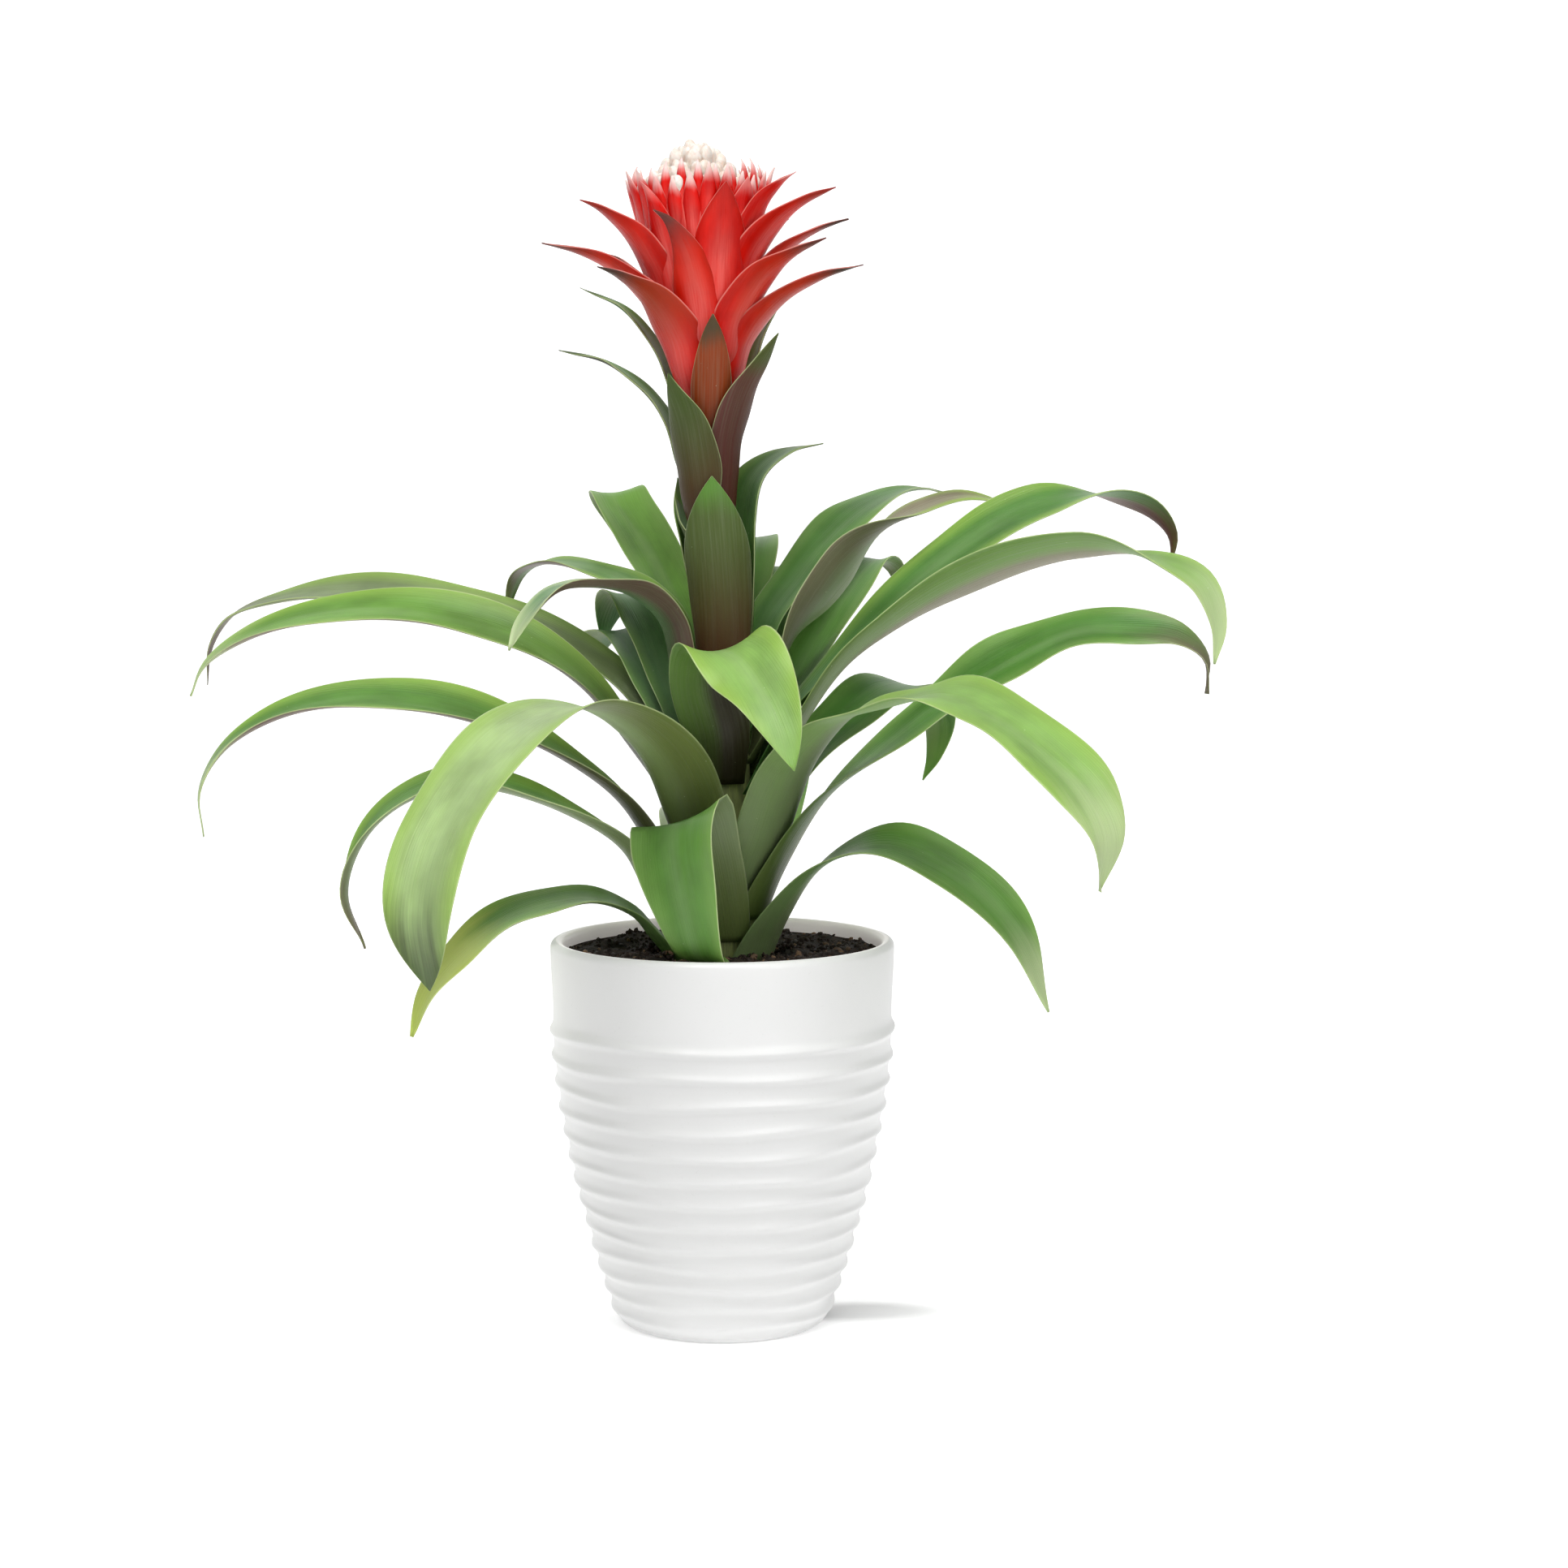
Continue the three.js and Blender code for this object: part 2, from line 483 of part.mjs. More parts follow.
function makeHead() {
  const core = [[0, 0], [coreRadius(0), 0], [coreRadius(24), 24], [coreRadius(48), 48],
    [coreRadius(CORE_TOP), CORE_TOP], [0, CORE_TOP]];
  const parts = [turned(core, 12), ...bracts.map((bract) => bractSolid(bract, bract[1] > 30 ? 2 : 3))];
  for (let i = 0; i < INNER_BRACTS; i += 1) {
    const uneven = 2 * Math.sin(5 * i);
    parts.push(bractSolid([(360 / INNER_BRACTS) * i + 9, 50, 27 + uneven, 88 + uneven, 0, 12], 2));
  }
  const dome = [[0, CORE_TOP + GAP], [DOME_RADIUS - 0.5, CORE_TOP + GAP], [DOME_RADIUS + 1, 76], [12, 84],
    [7, DOME_TOP], [0, DOME_TOP + 2]];
  const florets = [turned(dome, 12)];
  for (let i = 0; i < FLORETS; i += 1) {
    florets.push(floretSolid(i));
  }
  const pose = (geometry) => swayed(geometry
    .rotateY(-radians(HEAD_LEAN))
    .translate(0, 0, STEM_TOP + GAP + coreRadius(0) * Math.sin(radians(HEAD_LEAN))));
  addNode('flower_head', pose(fused(parts)), bractRed);
  addNode('floret_cluster', pose(fused(florets)), floretWhite);
}

function makeLeaves() {
  for (const leaf of rosette) {
    addNode(leaf.name, new Strap(leaf, 4).solid(), leaf.material);
  }
  for (const leaf of stalkLeaves) {
    addNode(leaf.name, swayed(new Strap(leaf, 4).solid()), leaf.material);
  }
}

makePot();
makeSoilAndStem();
makeLeaves();
makeHead();

export default plant;
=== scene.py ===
import math

import bpy
import numpy as np
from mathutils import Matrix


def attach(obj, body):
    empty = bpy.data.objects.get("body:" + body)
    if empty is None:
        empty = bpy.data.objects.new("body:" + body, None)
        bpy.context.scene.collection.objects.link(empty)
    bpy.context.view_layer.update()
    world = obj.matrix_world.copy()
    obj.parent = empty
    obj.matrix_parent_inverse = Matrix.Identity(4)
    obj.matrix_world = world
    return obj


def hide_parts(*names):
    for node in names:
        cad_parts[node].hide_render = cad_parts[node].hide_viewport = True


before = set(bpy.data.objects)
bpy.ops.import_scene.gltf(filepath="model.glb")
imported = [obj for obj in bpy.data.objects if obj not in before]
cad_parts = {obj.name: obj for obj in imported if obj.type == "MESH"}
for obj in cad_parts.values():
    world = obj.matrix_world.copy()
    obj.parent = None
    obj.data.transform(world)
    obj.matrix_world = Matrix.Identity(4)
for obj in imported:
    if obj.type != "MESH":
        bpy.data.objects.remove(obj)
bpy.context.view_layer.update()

# The pot. One slip-cast ceramic cachepot: a plain band at the top, then thirteen soft ribs pressed a
# little unevenly into a wall that draws in to a small flat foot. Satin white glaze inside and out.
MM = 0.001
BAND_RADIUS = 62.4
BAND_BOTTOM = 110
BASE_RADIUS = 38.4
BELLY_POWER = 1.55
POT_WALL = 4
POT_FLOOR = 6
RIBS = 13
TOP_RIB = 109.4
TOP_RIB_STEP = 9.8
RIB_STEP_LOSS = 0.21
RIB_RELIEF = 1.35
RIB_UNDER = 1.5
RIB_UPPER = 1.9
RIB_WANDER = 0.7
BAND_FLARE = 0.9
FOOT_CENTRE = (36.6, 2.1)
FOOT_HALF = (2.1, 2.1)
LIP_CENTRE = (60.95, 139.5)
LIP_HALF = (2.35, 2.5)
POT_COLUMNS = 168


def steps(low, high, x):
    """Smooth step: 0 up to low, 1 from high on, and 3t^2 - 2t^3 between them."""
    t = np.clip((np.asarray(x, float) - low) / (high - low), 0, 1)
    return t * t * (3 - 2 * t)


def wall_radius(height):
    """Outer wall without its ribs: straight down the band, then drawn in as a power of the way down."""
    down = np.maximum(0, 1 - np.asarray(height, float) / BAND_BOTTOM)
    return BAND_RADIUS - (BAND_RADIUS - BASE_RADIUS) * down ** BELLY_POWER


def rib_relief(height):
    """Ribs as narrow humps, a little steeper below the crest than above it, each at its own height."""
    relief = np.zeros_like(height)
    crest = TOP_RIB
    for rib in range(RIBS):
        off = height - crest
        hump = np.where(off < 0, np.exp(-(off / RIB_UNDER) ** 2), np.exp(-np.abs(off / RIB_UPPER) ** 1.7))
        relief = relief + RIB_RELIEF * hump
        crest -= TOP_RIB_STEP - RIB_STEP_LOSS * rib
    return relief


def make_mesh(name, corners, faces, fields=None):
    """A smooth mesh object from corners in millimetres, faces as rows of indices, and vector fields."""
    mesh = bpy.data.meshes.new(name)
    mesh.from_pydata((np.asarray(corners) * MM).tolist(), [], faces)
    mesh.shade_smooth()
    for field, values in (fields or {}).items():
        layer = mesh.attributes.new(field, "FLOAT_VECTOR", "POINT")
        layer.data.foreach_set("vector", np.asarray(values, np.float32).ravel())
    piece = bpy.data.objects.new(name, mesh)
    bpy.context.scene.collection.objects.link(piece)
    return piece


def between_rings(rows, around, first=0):
    """Quads that join each ring of corners to the next, for rows of rings with the same count."""
    row, column = np.meshgrid(np.arange(rows - 1), np.arange(around), indexing="ij")
    ahead = (column + 1) % around
    low, high = row * around, (row + 1) * around
    quads = np.stack([low + column, high + column, high + ahead, low + ahead], axis=-1)
    return (quads.reshape(-1, 4) + first).tolist()


def turned(outline, columns, shift=None):
    """An outline of [radius, height] rows turned about the Z axis, its two ends closed on the axis.

    Corner (i, j) is (r_i cos a_j, r_i sin a_j, z_i) with a_j going round clockwise from above; shift
    then moves the rings."""
    outline = np.asarray(outline, float)
    angle = -2 * np.pi * np.arange(columns) / columns
    radius, height = outline[1:-1, :1], outline[1:-1, 1:]
    rings = np.stack([
        radius * np.cos(angle),
        radius * np.sin(angle),
        np.broadcast_to(height, (len(radius), columns)),
    ], axis=-1)
    if shift is not None:
        rings = shift(rings)
    rows = len(rings)
    ends = [[0, 0, outline[0, 1]], [0, 0, outline[-1, 1]]]
    corners = np.vstack([rings.reshape(-1, 3), ends])
    faces = between_rings(rows, columns)
    bottom, top = rows * columns, rows * columns + 1
    last = (rows - 1) * columns
    around = np.arange(columns)
    ahead = (around + 1) % columns
    faces += np.stack([np.full(columns, bottom), around, ahead], axis=-1).tolist()
    faces += np.stack([last + around, np.full(columns, top), last + ahead], axis=-1).tolist()
    return corners, faces


def wander(rings):
    """Ribs that rise and fall by under a millimetre on their way round, as hand-pressed ribs do."""
    x, y, z = rings[..., 0], rings[..., 1], rings[..., 2]
    turn = np.arctan2(y, x)
    outside = np.hypot(x, y) > wall_radius(z) - 1
    fade = steps(1.5, 5, z) * (1 - steps(112, 118, z)) * outside
    wave = np.sin(2 * turn + z / 9) * np.sin(turn + z / 30) + 0.45 * np.sin(5 * turn + z / 4.2)
    rings[..., 2] = z + RIB_WANDER * fade * wave
    return rings


def rounded(centre, half, angle):
    """Points [radius, height] on an ellipse: the centre plus half its width and height times cos and sin."""
    return np.stack([centre[0] + half[0] * np.cos(angle), centre[1] + half[1] * np.sin(angle)], axis=-1)


def pot_outline():
    """Foot, ribbed wall, band, rounded lip, inner wall and floor, from the axis out and back to it."""
    corner = rounded(FOOT_CENTRE, FOOT_HALF, np.linspace(-np.pi / 2, 0, 8))
    rise = np.linspace(2.3, 139.4, 330)
    band = BAND_FLARE * steps(114, 139, rise)
    wall = np.stack([wall_radius(rise) + rib_relief(rise) + band, rise], axis=-1)
    rim = rounded(LIP_CENTRE, LIP_HALF, np.linspace(0.12, np.pi - 0.1, 16))
    fall = np.linspace(138.5, POT_FLOOR + 4, 26)
    inside = np.stack([wall_radius(fall) - POT_WALL, fall], axis=-1)
    floor = [[wall_radius(POT_FLOOR) - POT_WALL - 2, POT_FLOOR + 0.6], [20, POT_FLOOR], [0, POT_FLOOR]]
    return np.vstack([[[0, 0], [20, 0]], corner, wall, rim, inside, floor])


class Wire:
    """A socket of a material's node tree. Arithmetic on it adds Math nodes."""

    def __init__(self, tree, socket=None):
        self.tree = tree
        self.socket = socket

    def node(self, kind, settings=None, sockets=None, output=0):
        """Adds a node: its settings first, then the values or wires of its sockets."""
        made = self.tree.nodes.new(kind)
        for key, value in (settings or {}).items():
            setattr(made, key, value)
        for key, value in (sockets or {}).items():
            self.feed(made.inputs[key], value)
        return Wire(self.tree, made.outputs[output])

    def feed(self, socket, value):
        """Links a wire to a socket, or sets the socket's own value."""
        if isinstance(value, Wire):
            self.tree.links.new(value.socket, socket)
        else:
            socket.default_value = value

    def math(self, operation, *values):
        """One Math node on numbers and wires."""
        return self.node("ShaderNodeMath", {"operation": operation}, dict(enumerate(values)))

    def __add__(self, other):
        return self.math("ADD", self, other)

    def __sub__(self, other):
        return self.math("SUBTRACT", self, other)

    def __rsub__(self, other):
        return self.math("SUBTRACT", other, self)

    def __mul__(self, other):
        return self.math("MULTIPLY", self, other)

    def __abs__(self):
        return self.math("ABSOLUTE", self)

    __radd__ = __add__
    __rmul__ = __mul__

    def between(self, low, high):
        """0 up to low and 1 from high on, with a smooth rise; high may be under low."""
        if high < low:
            return 1 - self.between(high, low)
        settings = {"interpolation_type": "SMOOTHSTEP"}
        return self.node("ShaderNodeMapRange", settings, {"Value": self, "From Min": low, "From Max": high})

    def mix(self, first, second):
        """Two colours mixed with this wire as the share of the second."""
        settings = {"data_type": "RGBA", "clamp_factor": True}
        return self.node("ShaderNodeMix", settings, {0: self, 6: first, 7: second}, 2)

    def parts(self):
        """The three numbers of a vector."""
        split = self.node("ShaderNodeSeparateXYZ", None, {0: self})
        outputs = split.socket.node.outputs
        return [Wire(self.tree, output) for output in outputs]

    def vector(self, x, y, z):
        """A vector of three numbers or wires."""
        return self.node("ShaderNodeCombineXYZ", None, {0: x, 1: y, 2: z})

    def field(self, name):
        """A vector field of the mesh."""
        return self.node("ShaderNodeAttribute", {"attribute_name": name}, None, "Vector")

    def place(self):
        """Object coordinates, in metres."""
        return self.node("ShaderNodeTexCoord", None, None, "Object")

    def noise(self, vector, scale, detail=2.0, rough=0.5):
        """Cloudy noise from 0 to 1."""
        sockets = {"Vector": vector, "Scale": scale, "Detail": detail, "Roughness": rough}
        return self.node("ShaderNodeTexNoise", None, sockets)

    def bump(self, height, strength, distance):
        """A normal tilted by a height; the distance is in metres."""
        sockets = {"Height": height, "Strength": strength, "Distance": distance}
        return self.node("ShaderNodeBump", None, sockets, "Normal")


def tone(red, green, blue):
    """A colour read off the real thing in 0 to 255, as the light-proportional numbers of a shader."""
    shares = np.array([red, green, blue]) / 255
    linear = np.where(shares <= 0.04045, shares / 12.92, ((shares + 0.055) / 1.055) ** 2.4)
    return (*linear.tolist(), 1.0)


def new_material(name):
    """A material with its node tree as a wire, and its surface shader."""
    material = bpy.data.materials.new(name)
    material.use_nodes = True
    return material, Wire(material.node_tree), material.node_tree.nodes["Principled BSDF"]


def paint(wire, shader, colour, roughness, normal=None):
    """Feeds a surface its colour, roughness and normal."""
    wire.feed(shader.inputs["Base Color"], colour)
    wire.feed(shader.inputs["Roughness"], roughness)
    if normal is not None:
        wire.feed(shader.inputs["Normal"], normal)


def finish_piece(piece, node, material):
    """Gives a piece its material and ties it to the frame in place of its solid."""
    piece.data.materials.append(material)
    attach(piece, "root")
    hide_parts(node)


glaze, wire, shader = new_material("satin_white_glaze")
here = wire.place()
cloud = wire.noise(here, 22, 3)
pinholes = wire.noise(here, 900, 2).between(0.66, 0.74)
x, y, z = here.parts()
# Painted light: near the mouth the inner wall gets a near-white colour and a faint glow of its own,
# brightening it where the leaves shade it.
inside = wire.math("SQRT", x * x + y * y).between(0.0616, 0.0606) * z.between(0.1, 0.12)
white = (cloud * 0.6 + pinholes * 0.4).mix(tone(238, 238, 238), tone(230, 230, 229))
white = inside.mix(white, tone(254, 248, 247))
orange_peel = wire.bump(wire.noise(here, 260, 2), 0.12, 0.0004)
paint(wire, shader, white, 0.3 + cloud * 0.14, orange_peel)
# Painted glow on the inner wall near the mouth, though the glaze is no lamp.
wire.feed(shader.inputs["Emission Color"], inside.mix(tone(0, 0, 0), tone(255, 246, 246)))
shader.inputs["Emission Strength"].default_value = 0.2
shader.inputs["Coat Weight"].default_value = 0.15
shader.inputs["Coat Roughness"].default_value = 0.18
pot = make_mesh("pot_glazed", *turned(pot_outline(), POT_COLUMNS, wander))
finish_piece(pot, "pot", glaze)

# The soil. Dark peat and fine bark filled to just under the lip, damp and crumbly, loose on top with
# crumbs and chips of every size. It is closed underneath, with a plain hole where the stock stands.
SOIL_TOP = 137
SOIL_COLUMNS = 120
HOLE_RADIUS = 15.3
STEM_FOOT = 72
GAP = 0.3
GROUND_WAVES = 40
CRUMBS = 2400
CRUMB_FIELD = (17.5, 57.3)
chance = np.random.default_rng(11)


def uneven_ground(x, y):
    """Low rough ground: forty plane waves of 4 to 22 mm, each as high as its length allows."""
    waves = np.random.default_rng(5)
    length = waves.uniform(4, 22, GROUND_WAVES)
    heading = waves.uniform(0, 2 * np.pi, GROUND_WAVES)
    start = waves.uniform(0, 2 * np.pi, GROUND_WAVES)
    along = np.multiply.outer(x, np.cos(heading)) + np.multiply.outer(y, np.sin(heading))
    return (0.012 * length * np.sin(2 * np.pi * along / length + start)).sum(axis=-1)


def soil_outline():
    """Underside, wall against the pot, top, and the hole that opens out at the top."""
    rise = np.linspace(POT_FLOOR + GAP, SOIL_TOP, 14)
    wall = np.stack([wall_radius(rise) - POT_WALL - GAP, rise], axis=-1)
    inward = np.linspace(wall[-1, 0] - 0.5, 26.3, 46)
    top = np.stack([inward, np.full_like(inward, SOIL_TOP + 0.2)], axis=-1)
    hole = [[18.3, 128], [HOLE_RADIUS, 125], [HOLE_RADIUS, STEM_FOOT - GAP], [0, STEM_FOOT - GAP]]
    return np.vstack([[[0, POT_FLOOR + GAP]], wall, top, hole])


def roughened(rings):
    """The top of the soil lifted by the uneven ground, down to nothing at its wall."""
    x, y, z = rings[..., 0], rings[..., 1], rings[..., 2]
    rings[..., 2] = z + np.where(z > SOIL_TOP, uneven_ground(x, y), 0)
    return rings


def crumbs(count):
    """Lumps of 12 corners, each stretched, turned and set on the ground: corner = place + R (s * ball).

    The ball is an icosahedron; three of its corners make a face where all their distances are one edge."""
    golden = (1 + 5 ** 0.5) / 2
    signs = [(-1, -1), (-1, 1), (1, -1), (1, 1)]
    ball = np.array([(0, a, b * golden) for a, b in signs] + [(a, b * golden, 0) for a, b in signs]
                    + [(b * golden, 0, a) for a, b in signs]) / math.hypot(1, golden)
    apart = np.linalg.norm(ball[:, None] - ball, axis=-1)
    faces = [(p, q, r) for p in range(12) for q in range(p + 1, 12) for r in range(q + 1, 12)
             if max(apart[p, q], apart[q, r], apart[p, r]) < 1.1]
    faces = [(p, q, r) if np.dot(np.cross(ball[q] - ball[p], ball[r] - ball[p]), ball[p]) > 0
             else (p, r, q) for p, q, r in faces]
    size = 0.45 + 1.0 * chance.random(count) ** 2.6
    stretch = chance.uniform(0.55, 1.25, (count, 1, 3)) * size[:, None, None]
    long_ones = chance.random(count) < 0.12
    stretch[long_ones, 0, 0] *= 2
    lumpy = ball * stretch * chance.uniform(0.72, 1.15, (count, 12, 1))
    spin, _ = np.linalg.qr(chance.normal(size=(count, 3, 3)))
    spin *= np.sign(np.linalg.det(spin))[:, None, None]
    out = np.sqrt(chance.uniform(*np.square(CRUMB_FIELD), count))
    angle = chance.uniform(0, 2 * np.pi, count)
    x, y = out * np.cos(angle), out * np.sin(angle)
    z = SOIL_TOP + uneven_ground(x, y) + 0.25 * size
    corners = np.einsum("nij,nkj->nki", spin, lumpy) + np.stack([x, y, z], axis=-1)[:, None]
    index = np.asarray(faces)[None] + 12 * np.arange(count)[:, None, None]
    shade = np.repeat(chance.random((count, 3)), 12, axis=0)
    return corners.reshape(-1, 3), index.reshape(-1, 3).tolist(), {"crumb": shade}


peat, wire, shader = new_material("damp_peat")
here = wire.place()
grain = wire.noise(here, 420, 5, 0.65)
damp = wire.noise(here, 60, 2)
brown = grain.between(0.38, 0.7).mix(tone(22, 13, 9), tone(62, 42, 30))
paint(wire, shader, brown, 0.72 + damp * 0.25, wire.bump(grain, 0.9, 0.0012))
ground = make_mesh("soil_ground", *turned(soil_outline(), SOIL_COLUMNS, roughened))
finish_piece(ground, "soil", peat)

chips, wire, shader = new_material("peat_and_bark_crumbs")
pick, dry, _ = wire.field("crumb").parts()
grain = wire.noise(wire.place(), 700, 4, 0.6)
dark = (grain * 0.7 + dry * 0.3).mix(tone(18, 11, 8), tone(58, 40, 29))
bark = grain.mix(tone(70, 46, 30), tone(150, 120, 92))
brown = pick.between(0.88, 0.96).mix(dark, bark)
paint(wire, shader, brown, 0.6 + dry * 0.35, wire.bump(grain, 0.8, 0.0005))
finish_piece(make_mesh("soil_crumbs", *crumbs(CRUMBS)), "soil", chips)

# The stem. A short thick stock in the soil that carries the leaves and runs on as the flower stalk,
# fibrous, green below and brown further up. Slips of it show between the leaves; it sways left at the top.
STEM_TOP = 327
STEM_HEIGHTS = [141, 245, STEM_TOP]
STEM_RADII = [15, 7, 6]
STALK_SWAY = 4.5
SWAY_FOOT = 250


def stem_radius(height):
    """15 mm in the pot, tapering to 7 mm where the rosette ends and 6 mm under the bloom."""
    return np.interp(height, STEM_HEIGHTS, STEM_RADII)


def swayed(points):
    """Moves points of the stalk to the left, more the higher they are."""
    points[..., 0] -= STALK_SWAY * steps(SWAY_FOOT, STEM_TOP, points[..., 2])
    return points


rise = np.linspace(78, STEM_TOP, 90)
stock = np.stack([stem_radius(rise), rise], axis=-1)
stock = np.vstack([[[0, STEM_FOOT], [11, STEM_FOOT]], stock, [[0, STEM_TOP]]])
stem_skin, wire, shader = new_material("fibrous_stem")
x, y, z = wire.place().parts()
fibre = wire.noise(wire.vector(x * 900, y * 900, z * 40), 1, 4, 0.6)
stalk_tone = fibre.between(0.35, 0.7).mix(tone(44, 35, 24), tone(66, 62, 38))
foot_tone = fibre.between(0.35, 0.7).mix(tone(116, 126, 76), tone(152, 162, 96))
green = z.between(0.225, 0.208).mix(stalk_tone, foot_tone)
paint(wire, shader, green, 0.55 + fibre * 0.25, wire.bump(fibre, 0.5, 0.0006))
corners, faces = turned(stock, columns=48, shift=swayed)
corners[-1, 0] -= STALK_SWAY
finish_piece(make_mesh("stem_stock", corners, faces), "stem", stem_skin)

# The rosette leaves. Smooth leathery straps about 27 mm wide and 1 mm thick, each clasping the stem
# with its foot, rising and arching over to a thin point. Satin green above, sage and brown below.
BLADE_THICKNESS = 1.0
BLADE_COLUMNS = 20
ROW_PITCH = 2.6
FINE_STEPS = 900
TIP_HALF_WIDTH = 0.12
ROSETTE_RUFFLE = 0.8

